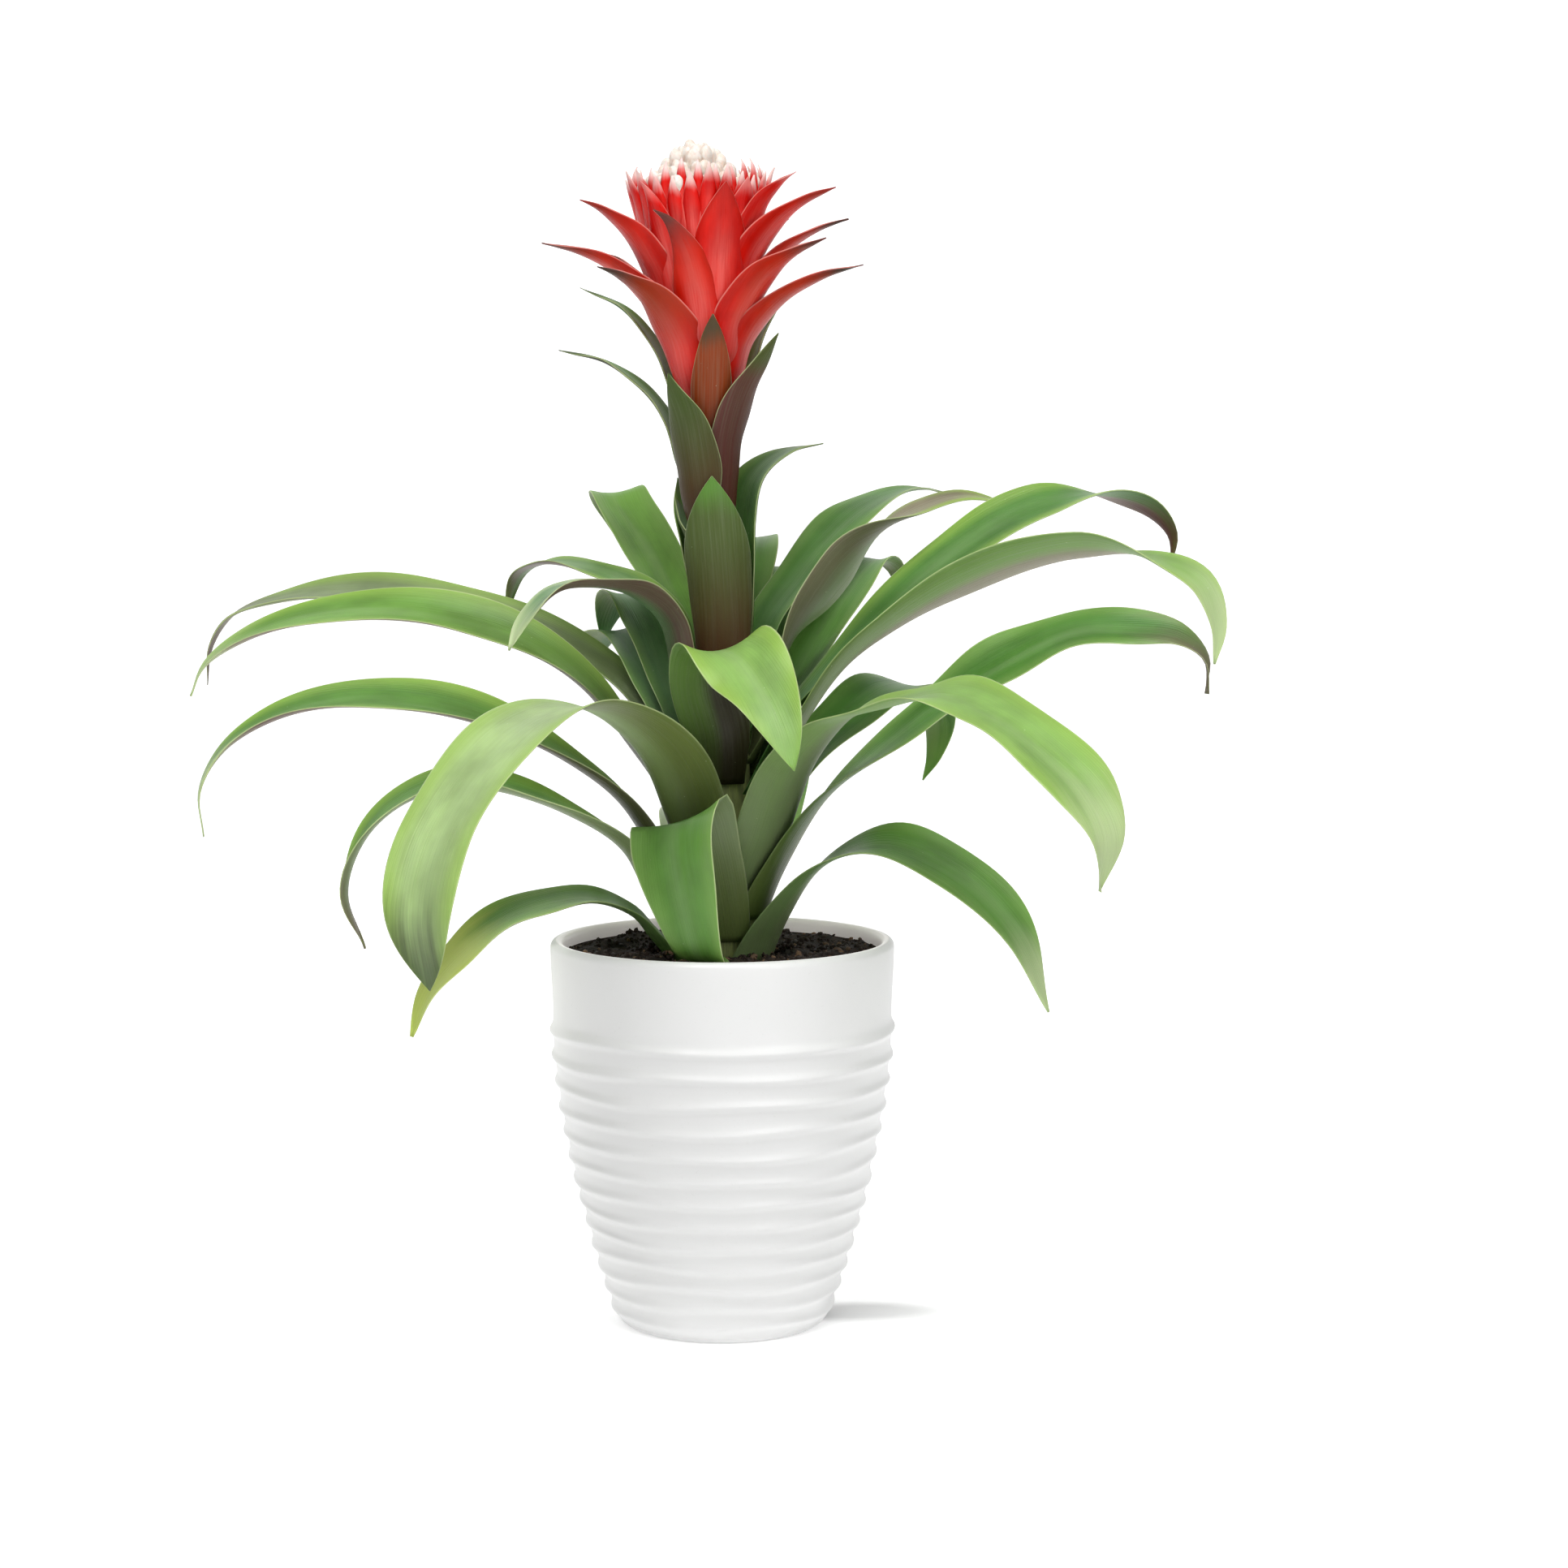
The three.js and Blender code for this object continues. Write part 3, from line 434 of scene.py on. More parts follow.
# Each leaf: azimuth, height of the foot, and path, the midrib's points [out, up, aside] from the axis.
# skin names five leaf tones: upper face, its margins, lower face, foot and tip. fade is where the tip's
# tone starts and stained how far the foot's tone climbs, as shares of the length.
rosette = {
    "leaf_left_low": dict(
        azimuth=187, root=131, roll=(-15, -30), lean=0.85, collar=12,
        skin="fresh lime sage mid straw", fade=0.55,
        path=[[33, 151], [47, 157], [62, 156], [80, 150], [97, 137], [108, 124], [114, 108]]),
    "leaf_right_low": dict(
        azimuth=-30, root=131, roll=(25, 20), width=25, skin="mid apple sage sage pale",
        path=[[38, 168], [55, 178], [70, 180], [88, 175], [105, 165], [120, 149], [131, 125]]),
    "leaf_back_low": dict(
        azimuth=97, root=134, wrap=50, skin="mid apple sage olive apple",
        path=[[45, 172], [70, 182], [98, 176], [118, 158], [128, 136]]),
    "leaf_left_lower": dict(
        azimuth=200, root=138, roll=(-12, 22), lean=0.6, channel=46, skin="mid lime sage olive plum",
        path=[[38, 176], [59, 190], [85, 200], [103, 202], [122, 195], [134, 183], [140, 165], [134, 145]]),
    "leaf_front_low": dict(
        azimuth=-108, root=143, width=38, channel=20, neck=0.9, belly=0.42, roll=(22, 0),
        skin="mid apple sage olive fresh",
        path=[[35, 178, 0], [43, 189, -1], [50, 182, 0], [54, 160, 5], [51, 143, 9], [40, 139.4, 10],
              [27, 139.2, 9]]),
    "leaf_back_lower": dict(
        azimuth=78, root=145, skin="mid apple sage olive apple",
        path=[[46, 188], [76, 204], [108, 204], [134, 188], [146, 164]]),
    "leaf_right_mid": dict(
        azimuth=-18, root=150.5, roll=(38, 34), wave=1.4, skin="rich apple sage olive plum",
        path=[[39, 194], [62, 214], [84, 231], [108, 246], [130, 256], [152, 257], [168, 255], [177, 247],
              [177, 235]]),
    "leaf_left_mid": dict(
        azimuth=192, root=155, roll=(-25, 0), lean=0.55, belly=0.5, channel=46,
        skin="mid lime plum moss pale", stained=0.6,
        path=[[38, 193], [55, 207], [80, 221], [110, 230], [140, 231], [163, 225], [180, 214], [188, 200],
              [187, 184]]),
    "leaf_front_right": dict(
        azimuth=-48, root=160, width=30, neck=1, belly=0.72, taper=2.2, roll=(14, 10), lean=0.5, wave=1.5,
        skin="apple lime sage sage pale",
        path=[[38, 206], [60, 224], [88, 232], [113, 236], [137, 230], [158, 219], [175, 207], [184, 193],
              [181, 176]]),
    "leaf_right_back": dict(
        azimuth=42, root=164, roll=(20, -20), skin="rich apple sage olive apple",
        path=[[39, 204], [63, 220], [85, 231], [102, 230], [114, 218], [112, 203], [106, 194]]),
    "leaf_front_left": dict(
        azimuth=-120, root=168, width=31, neck=1, belly=0.8, taper=2.6,
        skin="leek lime olive olive slate", fade=0.88,
        path=[[35, 207], [55, 221], [80, 230], [106, 232], [135, 226], [160, 212], [180, 193], [188, 172],
              [183, 148]]),
    "leaf_back_mid": dict(
        azimuth=101, root=172, skin="mid apple sage olive apple",
        path=[[40, 216], [66, 236], [98, 244], [130, 236], [152, 216], [160, 192]]),
    "leaf_left_high": dict(
        azimuth=172, root=176, roll=(-30, -20), channel=46, skin="fresh lime plum moss pale", stained=0.75,
        path=[[34, 213], [52, 236], [72, 250], [100, 259], [130, 262], [157, 259], [180, 251], [195, 241],
              [201, 230]]),
    "leaf_left_top": dict(
        azimuth=148, root=180, roll=(-25, -20), width=24, channel=36,
        skin="sage lime olive moss maroon", stained=0.6,
        path=[[31.5, 219, -3], [50, 237, -4], [84, 255, 3], [120, 264.5, 10], [154, 268, 18],
              [185, 265, 26], [207, 258, 32], [216, 246, 34], [217, 231, 35]]),
    "leaf_right_high": dict(
        azimuth=-9, root=184, roll=(-25, 60), twist=(0.68, 0.92),
        skin="apple lime taupe olive pale", stained=0.6,
        path=[[30, 221], [45, 243], [62, 257], [85, 271], [110, 281], [135, 285], [158, 281], [173, 273],
              [179, 258], [178, 244]]),
    "leaf_back_left_short": dict(
        azimuth=128, root=187, lean=0.5, skin="teal apple sage sage apple",
        path=[[34, 226], [48, 243], [60, 252], [73, 252], [83, 244], [89, 231]]),
    "leaf_back_right_short": dict(
        azimuth=44, root=191.5, lean=0.46, skin="mid apple sage moss olive",
        path=[[36, 232], [52, 252], [67, 269], [82, 280], [93, 277], [97, 266]]),
    "leaf_right_top": dict(
        azimuth=6, root=196, roll=(28, -42), twist=(0.7, 0.93),
        skin="rich lime plum deep maroon", stained=0.6,
        path=[[29, 228], [45, 246], [62, 263], [83, 281], [107, 296], [130, 304], [148, 304], [161, 299],
              [168, 290], [168, 280]]),
    "leaf_front_folded": dict(
        azimuth=-95, root=200, width=30, channel=18, wave=1, neck=0.9, roll=(14, 0), wrap=50,
        skin="apple lime bark umber apple",
        path=[[22, 236, -4], [27, 246, -2], [34, 249, 3], [44, 246, 11], [55, 237, 19], [65, 225, 26],
              [73, 210, 31]]),
    "leaf_back_left_dark": dict(
        azimuth=123, root=198.5, lean=0.56, skin="teal apple sage deep teal",
        path=[[35, 235], [50, 256], [62, 266], [73, 266], [81, 258], [85, 247]]),
    "leaf_back_right_inner": dict(
        azimuth=65, root=203, lean=0.56, skin="mid apple sage moss olive",
        path=[[35, 243], [52, 262], [71, 274], [90, 274], [102, 265], [108, 251]]),
    "leaf_right_inner": dict(
        azimuth=15, root=207, roll=(-55, 18), twist=(0.5, 0.75), width=24, belly=0.4, lean=0.47,
        skin="taupe lime sage moss lime",
        path=[[26, 250], [38, 268], [52, 284], [70, 297], [90, 304], [104, 303], [116, 299]]),
    "leaf_back_tall": dict(
        azimuth=82, root=210.5, lean=0.5, skin="mid apple sage moss olive",
        path=[[30, 249], [44, 269], [62, 285], [82, 288], [99, 277], [107, 261]]),
    "leaf_back_left_tall": dict(
        azimuth=119, root=214.3, lean=0.4, roll=(0, -18), skin="fresh apple sage mid apple",
        path=[[24.5, 250], [39, 267], [58, 285], [76, 299], [87, 306, -2], [98, 303, -8], [106, 292, -15],
              [109, 278, -22]]),
    "leaf_right_back_tall": dict(
        azimuth=48, root=218.5, roll=(10, 0), width=22, lean=0.34, skin="rich apple sage deep olive",
        path=[[24, 257], [42, 274], [58, 287], [78, 299], [100, 306], [118, 308], [133, 307]]),
    "leaf_left_inner_front": dict(
        azimuth=215, root=219.5, width=22, roll=(5, 0), lean=0.46, channel=40,
        skin="teal pale plum maroon pale",
        path=[[24, 259], [38, 269], [58, 272], [72, 270], [84, 260], [90, 250]]),
    "leaf_left_inner_back": dict(
        azimuth=149.5, root=224, width=21, roll=(-8, 0), skin="mid lime plum moss olive",
        path=[[22, 260], [36, 270], [60, 277.5, -2], [83, 279, -6], [96, 274, -9], [102, 261, -10]]),
}


def midrib(points, rows):
    """Points at equal steps along a centripetal Catmull-Rom curve through the given points.

    Each span is a cubic whose end slopes are weighed by the square roots of the chord lengths."""
    points = np.asarray(points, float)
    knots = np.vstack([2 * points[0] - points[1], points, 2 * points[-1] - points[-2]])
    pace = np.sqrt(np.linalg.norm(np.diff(knots, axis=0), axis=1))[:, None]

    def curve(t):
        span = np.minimum(t.astype(int), len(points) - 2)
        f = (t - span)[:, None]
        a, b, c, d = (knots[span + k] for k in range(4))
        p, q, r = (pace[span + k] for k in range(3))
        leave = ((b - a) / p - (c - a) / (p + q) + (c - b) / q) * q
        arrive = ((c - b) / q - (d - b) / (q + r) + (d - c) / r) * q
        return (b * (2 * f ** 3 - 3 * f ** 2 + 1) + leave * (f ** 3 - 2 * f ** 2 + f)
                + c * (3 * f ** 2 - 2 * f ** 3) + arrive * (f ** 3 - f ** 2))

    fine = np.linspace(0, len(points) - 1, FINE_STEPS)
    travel = np.concatenate([[0], np.cumsum(np.linalg.norm(np.diff(curve(fine), axis=0), axis=1))])
    even = np.interp(np.linspace(0, travel[-1], rows), travel, fine)
    return curve(even), travel[-1]


def unit(vectors):
    """Vectors brought to length one."""
    return vectors / np.linalg.norm(vectors, axis=-1, keepdims=True)


def strap(azimuth, root, path, width=27, neck=0.8, belly=0.6, taper=1.7, point=1, channel=26, roll=(0, 0),
          twist=(0.5, 1), wave=0.0, ruffle=0.35, wrap=58, lean=0.42, collar=18, seat=None,
          columns=BLADE_COLUMNS, facets=4, seed=0.0, pitch=ROW_PITCH):
    """Rings of a closed strap leaf, with its share across and along, and its millimetres from both.

    Across, the blade is an arc of half width w and bend b: (w/b) sin(bv) to the side and
    (w/b)(1 - cos(bv)) towards its inner face. At the foot b is bent round the stem, and it opens
    to a shallow channel. The two faces lie half the thickness off, thinned to nothing at the edge.
    wave and ruffle lift and widen the margins a little, in sines along the blade that seed shifts."""
    turn = math.radians(azimuth)
    outward = np.array([math.cos(turn), math.sin(turn), 0])
    sideward = np.array([-math.sin(turn), math.cos(turn), 0])
    hug = math.radians(wrap)
    held = stem_radius(root) if seat is None else seat
    foot = (held + GAP + 0.5) / math.cos(hug / facets)
    way = [[foot, root], [foot + lean * collar, root + collar]] + [list(stop) for stop in path]
    stops = np.array([stop + [0] * (3 - len(stop)) for stop in way], float)
    line = stops[:, :1] * outward + stops[:, 2:] * sideward + stops[:, 1:2] * np.array([0, 0, 1])
    _, length = midrib(line, 9)
    rows = int(length / pitch) + 2
    centre, length = midrib(line, rows)
    u = np.linspace(0, 1, rows)[:, None]
    along = unit(np.gradient(centre, axis=0))
    side = unit(sideward - along * (along @ sideward)[:, None])
    inner = np.cross(along, side)
    tilt = np.radians(roll[0] * steps(0.12, 0.5, u) + (roll[1] - roll[0]) * steps(*twist, u))
    across = side * np.cos(tilt) + inner * np.sin(tilt)
    above = inner * np.cos(tilt) - side * np.sin(tilt)
    opened = steps(0, 0.22, u)
    towards = unit(outward * (opened - 1) + above * opened)
    blade = neck + (1 - neck) * steps(0.25, belly, u)
    past = np.clip((u - belly) / (1 - belly), 0, 1)
    free = TIP_HALF_WIDTH + width / 2 * blade * np.clip(1 - past ** taper, 0, 1) ** point
    spread = steps(0, 0.25, u)
    free = free * (1 + 0.07 * ruffle * np.sin(13 * u + 1.7 * seed) * steps(0.3, 0.6, u))
    half = foot * hug * (1 - spread) + free * spread
    reach = np.maximum(4, (centre @ outward)[:, None])
    bend = ((half / reach) ** 4 + (math.radians(channel) * steps(0, 0.15, u) * (1 - 0.5 * u)) ** 4) ** 0.25
    index = np.arange(2 * columns)
    v = -np.cos(np.pi * index / columns)
    arc = bend * v
    ripple = wave * v ** 2 * steps(0.3, 0.6, u) * np.sin(8 * np.pi * u + np.where(v > 0, 0, 1.9))
    bulge = np.where(v > 0, np.sin(21 * u + 2.1 * seed), np.sin(17 * u + 3.3 * seed)) * np.abs(v) ** 3
    ripple = ripple + ruffle * bulge * steps(0.2, 0.5, u)
    middle = (centre[:, None] + across[:, None] * (half / bend * np.sin(arc))[..., None]
              + towards[:, None] * (half / bend * (1 - np.cos(arc)))[..., None]
              + above[:, None] * ripple[..., None])
    sheet = middle[:, :columns + 1]
    normal = unit(np.cross(np.gradient(sheet, axis=0), np.gradient(sheet, v[:columns + 1], axis=1)))
    lower = index > columns
    mirror = np.where(lower, 2 * columns - index, index)
    face = np.where(index % columns == 0, 0.0, np.where(lower, -1.0, 1.0))
    thin = BLADE_THICKNESS / 2 * np.sqrt(np.clip(1 - v ** 8, 0, 1)) * face * (1 - 0.75 * steps(0.88, 1, u))
    rings = middle[:, mirror] + normal[:, mirror] * thin[..., None]
    share = np.stack(np.broadcast_arrays(v[None], u, face[None]), axis=-1)
    spot = np.stack(np.broadcast_arrays(v * half, u * length, np.full_like(u, 37 * seed)), axis=-1)
    return rings, {"share": share, "spot": spot}


def strap_faces(rows, columns, first=0):
    """Faces of a strap: quads between its rings, and both end rings zipped shut, face to face.

    At the two edges of an end a quad has the same corner twice and becomes a triangle."""
    around = 2 * columns
    faces = between_rings(rows, around, first)
    for base, forward in ((first, True), (first + (rows - 1) * around, False)):
        for j in range(columns):
            lip = [j, j + 1, around - j - 1, (around - j) % around]
            lip = list(dict.fromkeys(lip if forward else lip[::-1]))
            faces.append([base + k for k in lip])
    return faces


def make_straps(name, straps, looks=None, move=None):
    """One mesh of several straps, with each strap's look as a field where they are given."""
    corners, faces, fields = [], [], {"share": [], "spot": []}
    first = 0
    for rings, marks in straps:
        rows, around = rings.shape[:2]
        corners.append(rings.reshape(-1, 3))
        faces += strap_faces(rows, around // 2, first)
        for field in marks:
            fields[field].append(marks[field].reshape(-1, 3))
        first += rows * around
    if looks is not None:
        fields["look"] = [np.tile(look, (len(part), 1)) for look, part in zip(looks, corners)]
    corners = np.vstack(corners)
    if move is not None:
        corners = move(corners)
    return make_mesh(name, corners, faces, {field: np.vstack(rows) for field, rows in fields.items()})


leaf_tones = {
    "fresh": (120, 170, 72), "mid": (98, 148, 62), "rich": (84, 136, 56), "deep": (64, 104, 50),
    "teal": (106, 148, 96), "sage": (132, 150, 104), "lime": (166, 204, 88), "apple": (142, 184, 94),
    "leek": (172, 200, 132), "pale": (204, 220, 168), "olive": (108, 122, 62), "fern": (88, 104, 54),
    "moss": (76, 88, 46), "slate": (66, 70, 54), "taupe": (142, 134, 108), "plum": (118, 94, 86),
    "mauve": (114, 66, 64), "bark": (62, 50, 34), "umber": (44, 32, 22), "maroon": (80, 26, 26),
    "rust": (160, 60, 18), "russet": (80, 30, 16), "straw": (208, 220, 112),
}


def shaded(colour, share):
    """A colour made darker or lighter."""
    return (*(channel * share for channel in colour[:3]), 1.0)


def fleshy(shader, depth_share, radius, gloss):
    """Lets light a little way into a leaf, bract or bud, and sets how much it mirrors."""
    shader.inputs["Subsurface Weight"].default_value = depth_share
    shader.inputs["Subsurface Radius"].default_value = radius
    shader.inputs["Subsurface Scale"].default_value = 0.002
    shader.inputs["Specular IOR Level"].default_value = gloss


def leaf_skin(name, tones, fade=0.8, stained=0.45, foot=0.02, strip=-0.35, gloss=0.34):
    """A leaf's skin: its tones across and along the blade, streaks, a pale edge line, veins and gloss.

    The foot's tone is full up to the foot share and gone by stained. On the lower face the upper tone
    turns to the lower one from the strip share of the half width on."""
    material, wire, shader = new_material(name)
    above, edge, below, base, tip = [tone(*leaf_tones[word]) for word in tones.split()]
    v, u, face = wire.field("share").parts()
    across, along, seed = wire.field("spot").parts()
    off = abs(v)
    streak = wire.noise(wire.vector(across * 1.1, along * 0.02, seed), 1, 4, 0.6)
    fine = wire.noise(wire.vector(across * 3.2, along * 0.035, seed), 1, 2, 0.5)
    patch = wire.noise(wire.vector(across * 0.06, along * 0.03, seed), 1, 3, 0.55)
    drift = wire.noise(wire.vector(across * 0.12, along * 0.011, seed + 5), 1, 2, 0.5)
    upper = patch.between(0.3, 0.7).mix(shaded(above, 0.8), shaded(above, 1.2))
    upper = (off.between(0.4, 1.0) * (0.15 + 0.9 * drift)).mix(upper, edge)
    # A pale grey-green wash along the middle of the upper face: partly the leaf's own waxy bloom, partly
    # painted sheen.
    bloom_and_painted_sheen = (1 - off.between(0.0, 0.6)) * drift.between(0.35, 0.65) * (0.4 + 0.6 * streak)
    upper = (bloom_and_painted_sheen * 0.26).mix(upper, tone(190, 212, 166))
    lower = (v + 0.7 * (drift - 0.5)).between(strip, strip + 0.7).mix(shaded(above, 0.8), below)
    lower = (streak.between(0.4, 0.8) * 0.22).mix(lower, tone(168, 178, 154))
    skin = (face * 0.5 + 0.5).mix(lower, upper)
    reach = u + 0.18 * (drift - 0.5) + 0.05 * (streak - 0.5)
    skin = (reach.between(stained, foot) * 0.85).mix(skin, base)
    skin = (reach.between(fade, min(fade + 0.17, 1)) * 0.85).mix(skin, tip)
    skin = (fine * 0.18 + streak * 0.14).mix(skin, tone(46, 66, 24))
    # A pale line along the margins: partly the leaf's own pale margin, partly painted rim light.
    line = off.between(0.955, 0.99) * (0.3 + 0.5 * patch) * u.between(0.05, 0.4)
    skin = line.mix(skin, tone(200, 212, 158))
    specks = wire.noise(wire.vector(across * 0.9, along * 0.7, seed), 1, 1).between(0.78, 0.83)
    skin = (specks * 0.45).mix(skin, tone(214, 222, 186))
    veins = wire.noise(wire.vector(across * 2.0, along * 0.012, seed), 1, 2, 0.5)
    relief = wire.bump(veins + patch * 0.8 + drift * 0.6, 0.3, 0.0007)
    paint(wire, shader, skin, 0.3 + streak * 0.12 + patch * 0.1, relief)
    fleshy(shader, 0.12, (0.5, 1.0, 0.25), gloss)
    return material


def parted(leaf):
    """A leaf's row in two: the words for its skin and the words for its shape."""
    skin = {word: leaf[word] for word in ("fade", "stained") if word in leaf}
    shape = {word: value for word, value in leaf.items() if word not in ("skin", "fade", "stained")}
    return {"tones": leaf["skin"], **skin}, shape


for number, (name, leaf) in enumerate(rosette.items()):
    skin, shape = parted(leaf)
    blade = make_straps(f"{name}_blade", [strap(seed=number + 1.0, ruffle=ROSETTE_RUFFLE, **shape)])
    finish_piece(blade, name, leaf_skin(f"{name}_skin", **skin))

# The stalk leaves. The lowest clasp the flower stalk upright, broad and maroon at the foot; the upper
# ones are thin, olive to dark red, and curve away from it. They are as thin and leathery as the rest.
FINE_PITCH = 1.6
stalk_leaves = {
    "stalk_leaf_front_tall": dict(
        azimuth=-88, root=229, width=29, lean=0.12, belly=0.5, taper=2.6, wrap=52,
        skin="mid olive fern maroon mid", stained=0.85,
        path=[[12.5, 268], [14.5, 288], [14.8, 302], [14.2, 311]]),
    "stalk_leaf_right": dict(
        azimuth=38, root=236, width=22, lean=0.12, wrap=50, skin="rich apple deep moss olive", stained=0.5,
        path=[[13, 276], [15, 295], [20, 310], [34, 320], [54, 324]]),
    "stalk_leaf_back_low": dict(
        azimuth=130, root=244, width=20, lean=0.12, wrap=45, skin="mid apple fern maroon olive",
        path=[[12, 280], [15.5, 298], [19, 311]]),
    "stalk_leaf_left_sliver": dict(
        azimuth=160, root=266, width=17, lean=0.1, collar=8, wrap=40, skin="mid olive fern maroon olive",
        path=[[10, 287], [13, 297], [14, 304]]),
    "stalk_leaf_left_front": dict(
        azimuth=-122, root=284, width=22, lean=0.2, belly=0.45, wrap=46,
        skin="fern sage fern maroon fern", stained=0.95,
        path=[[12, 314], [16, 330], [27, 347]]),
    "stalk_leaf_right_front": dict(
        azimuth=-45, root=295, width=18, lean=0.16, belly=0.4, wrap=42,
        skin="mid sage mauve maroon fern", fade=0.7, stained=0.8,
        path=[[12, 325], [19, 342], [35, 361]]),
    "stalk_leaf_back_high": dict(
        azimuth=97, root=298, width=13, lean=0.24, belly=0.4, wrap=24, skin="mid sage fern maroon slate",
        path=[[13.5, 328], [21, 346], [33, 360]]),
    "stalk_leaf_left_thin": dict(
        azimuth=156, root=303, width=12, lean=0.4, collar=12, belly=0.3, wrap=28,
        skin="mid sage slate olive slate",
        path=[[16, 330], [25, 342], [41, 353], [61, 358]]),
    "stalk_leaf_right_thin": dict(
        azimuth=30, root=308, width=12, lean=0.3, collar=12, belly=0.3, wrap=26,
        skin="mid sage slate maroon slate",
        path=[[14, 336], [18, 352], [24, 366], [31, 376]]),
    "stalk_leaf_front_top": dict(
        azimuth=-86, root=312, width=15, lean=0.2, collar=12, belly=0.5, taper=2.2, wrap=46,
        skin="mid russet rust russet slate", fade=0.74, stained=0.6,
        path=[[14.5, 341], [19.5, 355], [22.5, 368]]),
    "stalk_leaf_left_top": dict(
        azimuth=152, root=314, width=12, lean=0.3, collar=12, belly=0.3, wrap=28,
        skin="mid sage deep olive slate",
        path=[[15, 344], [23, 360], [36, 373], [54, 381]]),
}

for number, (name, leaf) in enumerate(stalk_leaves.items()):
    skin, shape = parted(leaf)
    skin = {"stained": 0.8, "foot": 0.2, "strip": -1.9, "gloss": 0.2, **skin}
    blade = make_straps(f"{name}_blade", [strap(seed=number + 40.0, pitch=FINE_PITCH, **shape)], move=swayed)
    finish_piece(blade, name, leaf_skin(f"{name}_skin", **skin))

# The flower head. Stiff waxy bracts on one core, red with a painted pink sheen, the lowest brown at the tip.
# Twenty-one broad ones hug the head and then bend out; two rings of small ones with pale tips fill its
# mouth round the florets.
HEAD_FOOT = 7.4
HEAD_SPREAD = 15.6
HEAD_MOUTH = 72
HEAD_FLARE = 1.12
CORE_TOP = 70
CORE_SHARE = 0.84
HEAD_LEAN = 2.5
HEAD_SEAT = CORE_SHARE * HEAD_FOOT
INNER_BRACTS = 24
INNER_WHITE = 0.9
SMALL_BRACT = 10
UPRIGHT_REACH = 30
BRACT_WAY = [(0.0, 0.28), (0.05, 0.54), (0.3, 0.8), (0.66, 0.94), (1, 1)]

# Azimuth, height of the foot, reach and height of the tip, how far the tip swings aside, width,
# and how brown and how white the tip is.
bracts = [
    (-128, 5, 47.5, 57.5, -9, 22, 1.0, 0), (-20, 4, 61, 55.5, 0, 19, 0.7, 0),
    (-46, 10, 58, 63.5, 5, 21, 0.4, 0), (-94, 15, 28, 77, -14, 21, 0.4, 0),
    (-8, 20, 54, 73, 0, 18, 0.5, 0), (-162, 14, 59, 68, 0, 20, 0.4, 0),
    (-148, 28, 49, 81.5, 0, 21, 0.25, 0), (-69, 26, 28, 86, 0, 24, 0.1, 0),
    (-30, 32, 56, 82, 0, 20, 0.25, 0), (-38, 44, 44, 88, 0, 15, 0.1, 0.3),
    (-125, 34, 30, 88, -4, 18, 0, 0.3), (-48, 38, 27, 88, 0, 18, 0, 0.3),
    (100, 6, 46, 59, 0, 21, 0.9, 0), (45, 8, 40, 64, 0, 20, 0.9, 0),
    (132, 10, 42, 56, 0, 20, 0.9, 0), (176, 22, 34, 65, 0, 18, 0.5, 0),
    (75, 20, 44, 74, 0, 19, 0.6, 0), (122, 24, 42, 79, 0, 19, 0.5, 0),
    (22, 24, 35, 76, 0, 18, 0.4, 0), (95, 36, 36, 87, 0, 18, 0.1, 0.3),
    (52, 34, 38, 86, 0, 18, 0.2, 0.3),
]
for i in range(INNER_BRACTS):
    turn, uneven = 360 * i / INNER_BRACTS, math.sin(5 * i)
    bracts.append((turn + 9, 50, 26.5 + 1.5 * uneven, 91 + 2 * uneven, 0, 8.5, 0, INNER_WHITE))
    bracts.append((turn + 16, 54, 22.5 + uneven, 94 - 1.5 * uneven, 0, 6.5, 0, INNER_WHITE))


def head_radius(height):
    """How far the bracts' bodies stand from the axis, opening like a narrow bell from foot to mouth."""
    return HEAD_FOOT + HEAD_SPREAD * (np.asarray(height, float) / HEAD_MOUTH) ** HEAD_FLARE


def head_place(points):
    """Leans the head 2.5 degrees to the left, sets it on the stalk's end and moves it with the stalk."""
    lean = math.radians(HEAD_LEAN)
    x, z = points[..., 0].copy(), points[..., 2].copy()
    points[..., 0] = x * math.cos(lean) - z * math.sin(lean)
    points[..., 2] = x * math.sin(lean) + z * math.cos(lean) + STEM_TOP + GAP + HEAD_SEAT * math.sin(lean)
    return swayed(points)


def bract(azimuth, root, out, top, aside, width, seed):
    """A bract as a strap that hugs the head and then swings out: reach = E(h) + s (out - E(top)).

    E is the head's radius and s the share of the swing. Lower bracts lie a little over higher ones."""
    foot = CORE_SHARE * float(head_radius(root)) - 1
    over = 0.07 * (28 - root)
    way = []
    for share, up in BRACT_WAY:
        height = root + up * (top - root)
        reach = float(head_radius(height)) + over * (1 - share) + share * (out - float(head_radius(top)))
        way.append([reach, height, share * aside])
    lift = way[0][1] - root
    roll = -10 * math.cos(math.radians(azimuth))
    belly, taper, point = (0.5, 2.0, 1.0) if aside == 0 and out <= UPRIGHT_REACH else (0.42, 1.35, 1.2)
    return strap(azimuth, root, way[1:], width=width, seat=foot - 0.8, collar=lift,
                 lean=(way[0][0] - foot) / lift, roll=(roll, roll), belly=belly, neck=0.85, channel=52,
                 wrap=40, taper=taper, point=point, columns=6 if width < SMALL_BRACT else 14, facets=3,
                 seed=seed, pitch=FINE_PITCH)


